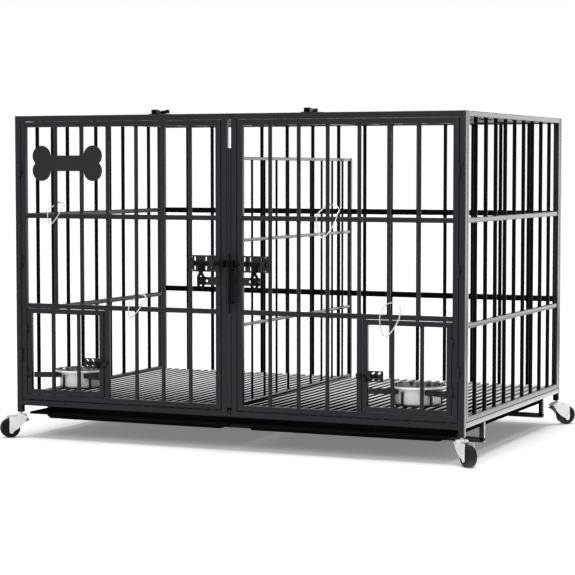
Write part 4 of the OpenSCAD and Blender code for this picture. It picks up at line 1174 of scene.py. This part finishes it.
@dataclass
class Caster:
    """Swivel caster: turned wheel with a hub, brake lever and axle nuts on the pressed fork."""

    name: str
    x: float
    y: float
    turn: float
    trail: float = 0.0295
    wheel: float = 0.0255
    half_width: float = 0.011
    fork_half: float = 0.014
    wheel_steps: int = 64
    web: tuple[Span, ...] = ((0.00305, 0.0), (0.0075, 0.0), (0.008, 0.0005), (0.0085, 0.0022),
                             (0.0165, 0.0022), (0.0172, 0.0005), (0.0178, 0.0))
    shoulder: float = 0.004
    crown: float = 0.0002
    groove: float = 0.0006
    lever: tuple[Span, ...] = ((-0.018, 0.049), (-0.018, 0.044), (-0.0072, 0.0398), (-0.0014, 0.036),
                               (0.0026, 0.036), (-0.0008, 0.043))
    lever_edge: float = 0.0008
    pin: Span = (-0.004, 0.043)
    barrel: Boss = Boss(0.0, 0.0, 0.0032, 24, 0.0004)
    washer: Boss = Boss(0.0005, 0.0006, 0.0058, 28, 0.0002)
    nut: Boss = Boss(0.0, 0.0032, 0.0048, 6, 0.0005)
    rivet: Boss = Boss(0.0005, 0.0012, 0.0030, 20, 0.0006)
    race_z: float = 0.0605
    race: tuple[Span, ...] = ((0.0045, 0.0), (0.0125, 0.0), (0.0125, 0.0004), (0.010, 0.0012),
                              (0.0045, 0.0014))
    race_steps: int = 40

    def tyre(self) -> list[Span]:
        """Works out the wheel's section.

        Returns:
            Radius and height round the section.
        """
        radius, width, shoulder, groove = self.wheel, self.half_width, self.shoulder, self.groove
        side = [(r, width - depth) for r, depth in self.web]
        side += [(radius - self.crown - shoulder * (1 - math.cos(a)), width - shoulder * (1 - math.sin(a)))
                 for a in reversed(QUARTER)]
        cut = [(radius, 2 * groove), (radius - groove, groove), (radius - groove, -groove),
               (radius, -2 * groove)]
        return [*side, *cut, *((r, -height) for r, height in reversed(side)), side[0]]

    def build(self) -> None:
        """Builds the wheel, the lever and the nuts."""
        place = Matrix.Translation((self.x, self.y, 0)) @ Matrix.Rotation(math.radians(self.turn), 4, "Z")
        axle = place.to_3x3() @ Vector((0, 1, 0))
        hub = place @ Vector((self.trail, 0, self.wheel))
        pin = place @ Vector((self.pin[0], 0, self.pin[1]))
        width, barrel = self.half_width, self.barrel
        shape = Shape()
        shape.turned(self.tyre(), hub, axle, self.wheel_steps)
        shape.piece(f"{self.name}_wheel_tyre", f"{self.name}_wheel", Slot.RUBBER, [f"{self.name}_wheel"])
        shape = Shape()
        verts = [shape.bm.verts.new(place @ Vector((u, width, v))) for u, v in self.lever]
        made = bmesh.ops.extrude_face_region(shape.bm, geom=[shape.bm.faces.new(verts)])["geom"]
        moved = [v for v in made if isinstance(v, bmesh.types.BMVert)]
        bmesh.ops.translate(shape.bm, vec=-2 * width * axle, verts=moved)
        shape.soften({edge for vert in verts + moved for edge in vert.link_edges}, self.lever_edge)
        shape.rod(pin - axle * width, pin + axle * width, barrel.radius, barrel.sides, barrel.edge)
        shape.piece(f"{self.name}_brake_lever", f"{self.name}_brake", Slot.BRAKE, [f"{self.name}_brake"])
        shape = Shape()
        for _, sign in SIDES:
            out = axle * sign
            for middle, boss in ((hub, self.washer), (hub, self.nut), (pin, self.rivet)):
                face = middle + out * self.fork_half
                shape.rod(face - out * boss.back, face + out * boss.proud, boss.radius, boss.sides, boss.edge)
        shape.turned(self.race, place @ Vector((0, 0, self.race_z)), (0, 0, 1), self.race_steps)
        shape.piece(f"{self.name}_axle_nuts", f"{self.name}_caster", Slot.ZINC)


@dataclass(frozen=True)
class Loop:
    """Place and size of one bent wire clip, measured from its top."""

    top: Point
    width: float
    height: float
    lean: float
    back: float = 0.0068
    front: float = -0.0088


@dataclass
class Clips:
    """Bright wire clips of one body: closed loops that narrow and lean over on the way down."""

    name: str
    body: str
    node: str
    loops: list[Loop]
    wire: float = 0.0015
    wire_sides: int = 10
    steps: int = 72
    taper: float = 0.4
    top_share: float = 0.16
    low_share: float = 0.3
    smooth_angle: float = 80.0

    def passing(self, share: float) -> float:
        """Share of the way from behind the bar to in front of the rail."""
        part = (share - self.top_share) / (self.low_share - self.top_share)
        return (1 - math.cos(math.pi * min(max(part, 0.0), 1.0))) / 2

    def bend(self, loop: Loop) -> list[Vector]:
        """Works out the wire's centre line.

        Args:
            loop: place and size of the clip.

        Returns:
            Points round the closed wire.
        """
        points = []
        for index in range(self.steps):
            turn = math.tau * index / self.steps
            share = (1 - math.cos(turn)) / 2
            side = loop.width / 2 * math.sin(turn) * (1 + self.taper * math.cos(turn)) - 2 * loop.lean * share
            out = loop.back + (loop.front - loop.back) * self.passing(share)
            points.append(Vector(loop.top) + Vector((side, out, -loop.height * share)))
        return points

    def build(self) -> None:
        """Bends the wires."""
        shape = Shape()
        bm = shape.bm
        for loop in self.loops:
            points = self.bend(loop)
            rings = []
            for index, point in enumerate(points):
                way = points[(index + 1) % self.steps] - points[index - 1]
                side = way.cross(Vector((0, 1, 0))).normalized()
                turn = Matrix((side, side.cross(-way).normalized(), way.normalized())).transposed().to_4x4()
                made = bmesh.ops.create_circle(bm, cap_ends=False, segments=self.wire_sides, radius=self.wire,
                                               matrix=Matrix.Translation(point) @ turn)["verts"]
                rings.append(list({edge for vert in made for edge in vert.link_edges}))
            for index, ring in enumerate(rings):
                bmesh.ops.bridge_loops(bm, edges=ring + rings[(index + 1) % self.steps])
        shape.piece(self.name, self.body, Slot.CLIP, [self.node], self.smooth_angle)


CASTER_X, CASTER_Y = 0.6025, 0.4005
CASTERS = (("front_left", -1, -1, -134), ("front_right", 1, -1, -41), ("rear_right", 1, 1, 46),
           ("rear_left", -1, 1, 139))
CLIPS = (
    ("left_door_clips", "left_door", "left_wire_clips",
     [Loop((-0.48562, -0.401, 0.6109), 0.03383, 0.05653, 0.0099),
      Loop((-0.24839, -0.401, 0.3794), 0.03355, 0.05796, 0.0127)]),
    ("right_door_clip", "right_door", "right_wire_clips",
     [Loop((0.26769, -0.401, 0.6109), 0.04862, 0.08022, 0.0084)]),
    ("right_feed_clip_wire", "right_feed", "right_feed_clip",
     [Loop((0.43146, -0.408, 0.3794), 0.04708, 0.08198, 0.0093, -0.0018, -0.0018)]),
)


@dataclass(frozen=True)
class Panel:
    """A soft light panel: where it stands, what it faces, and whether it only shows in gloss."""

    name: str
    place: Point
    target: Point
    size: Span
    power: float
    gloss_only: bool = True


PANELS = (
    Panel("front_panel", (0.6, -3.2, 2.4), (0.1, -0.3, 0.3), (2.2, 1.6), 38.0, gloss_only=False),
    Panel("gloss_panel", (1.95, 3.0, 0.75), (0.61, 0.0, 0.45), (2.2, 1.5), 36.5),
    Panel("low_gloss_panel", (1.05, 0.55, 0.004), (1.05, 0.55, 1.0), (0.9, 2.2), 16.0),
)


@dataclass
class Studio:
    """White floor, soft lights and the camera at the photograph's angle."""

    camera_place: Point = (2.0373, -4.6626, 0.6946)
    camera_turn: Point = (90.0 - 3.517, 0.0, 23.831)
    lens: float = 120.2
    sensor: float = 36.0
    floor_half: float = 30.0
    floor_grey: float = 0.84
    floor_glow: float = 0.2
    floor_roughness: float = 0.9
    fill: float = 0.35
    sun: float = 2.4
    sun_spread: float = 30.0
    sun_height: float = 4.0

    def build(self) -> None:
        """Sets up the floor, the light and the camera."""
        scene = bpy.context.scene
        scene.view_settings.view_transform = "Standard"
        self.lay_floor()
        self.light_world()
        self.light_top()
        for panel in PANELS:
            self.light(panel)
        data = bpy.data.cameras.new("photo_camera")
        data.lens = self.lens
        data.sensor_width = self.sensor
        camera = self.put("photo_camera", data, self.camera_place)
        camera.rotation_euler = [math.radians(angle) for angle in self.camera_turn]
        scene.camera = camera

    @staticmethod
    def put(name: str, data: bpy.types.ID, place: Point = (0.0, 0.0, 0.0)) -> bpy.types.Object:
        """Puts a new object into the scene.

        Args:
            name: the object's name.
            data: its mesh, lamp or camera.
            place: where it stands.

        Returns:
            The new object.
        """
        made = bpy.data.objects.new(name, data)
        made.location = place
        bpy.context.scene.collection.objects.link(made)
        return made

    def lay_floor(self) -> None:
        """Adds the pale floor."""
        bm = bmesh.new()
        bmesh.ops.create_grid(bm, x_segments=1, y_segments=1, size=self.floor_half)
        mesh = bpy.data.meshes.new("studio_floor")
        bm.to_mesh(mesh)
        bm.free()
        graph = Surface("floor_white")
        glow = graph.remap(graph.seen(), low=0.0, high=self.floor_glow, start=0.0, end=1.0)
        grey = (self.floor_grey, self.floor_grey, self.floor_grey, 1.0)
        mesh.materials.append(graph.finish(
            Base_Color=grey, Roughness=self.floor_roughness, Specular_IOR_Level=0.0,
            Emission_Color=(1.0, 1.0, 1.0, 1.0), Emission_Strength=glow))
        floor = self.put("studio_floor", mesh)

    def light_world(self) -> None:
        """Makes the backdrop white to the eye and to gloss, and a soft fill for the rest."""
        world = bpy.data.worlds.new("studio_world")
        world.use_nodes = True
        graph = Graph(world.node_tree)
        mix = graph.add("ShaderNodeMixShader", Fac=graph.seen())
        for socket, strength in ((1, self.fill), (2, 1.0)):
            light = graph.add("ShaderNodeBackground", Color=(1.0, 1.0, 1.0, 1.0), Strength=strength)
            graph.join(mix.inputs[socket], light.outputs[0])
        graph.add("ShaderNodeOutputWorld", Surface=mix.outputs[0])
        bpy.context.scene.world = world

    def light_top(self) -> None:
        """Adds the even light from above that puts the shadow under the crate."""
        lamp = bpy.data.lights.new("top_light", "SUN")
        lamp.energy = self.sun
        lamp.angle = math.radians(self.sun_spread)
        self.put("top_light", lamp, (0.0, 0.0, self.sun_height))

    def light(self, panel: Panel) -> None:
        """Adds a soft panel.

        Args:
            panel: the panel's place, size and power.
        """
        lamp = bpy.data.lights.new(panel.name, "AREA")
        lamp.shape = "RECTANGLE"
        lamp.size, lamp.size_y = panel.size
        lamp.energy = panel.power
        made = self.put(panel.name, lamp, panel.place)
        way = Vector(panel.target) - Vector(panel.place)
        made.rotation_euler = way.to_track_quat("-Z", "Y").to_euler()
        made.visible_camera = False
        made.visible_diffuse = not panel.gloss_only


def main() -> None:
    """Builds the crate's pieces in order."""
    logging.basicConfig(level=logging.INFO, format="%(name)s: %(message)s")
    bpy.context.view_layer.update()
    dress_nodes()
    for kind in (CornerFrame, RearPanel, Base, Divider):
        kind().build()
    for name, sign in SIDES:
        for kind in (SidePanel, Tray, Door, FeedDoor, Bowl, Lid):
            kind(name, sign).build()
    for name, side, end, turn in CASTERS:
        Caster(name, side * CASTER_X, end * CASTER_Y, turn).build()
    for name, body, node, loops in CLIPS:
        Clips(name, body, node, loops).build()
    Studio().build()


if __name__ == "__main__":
    main()
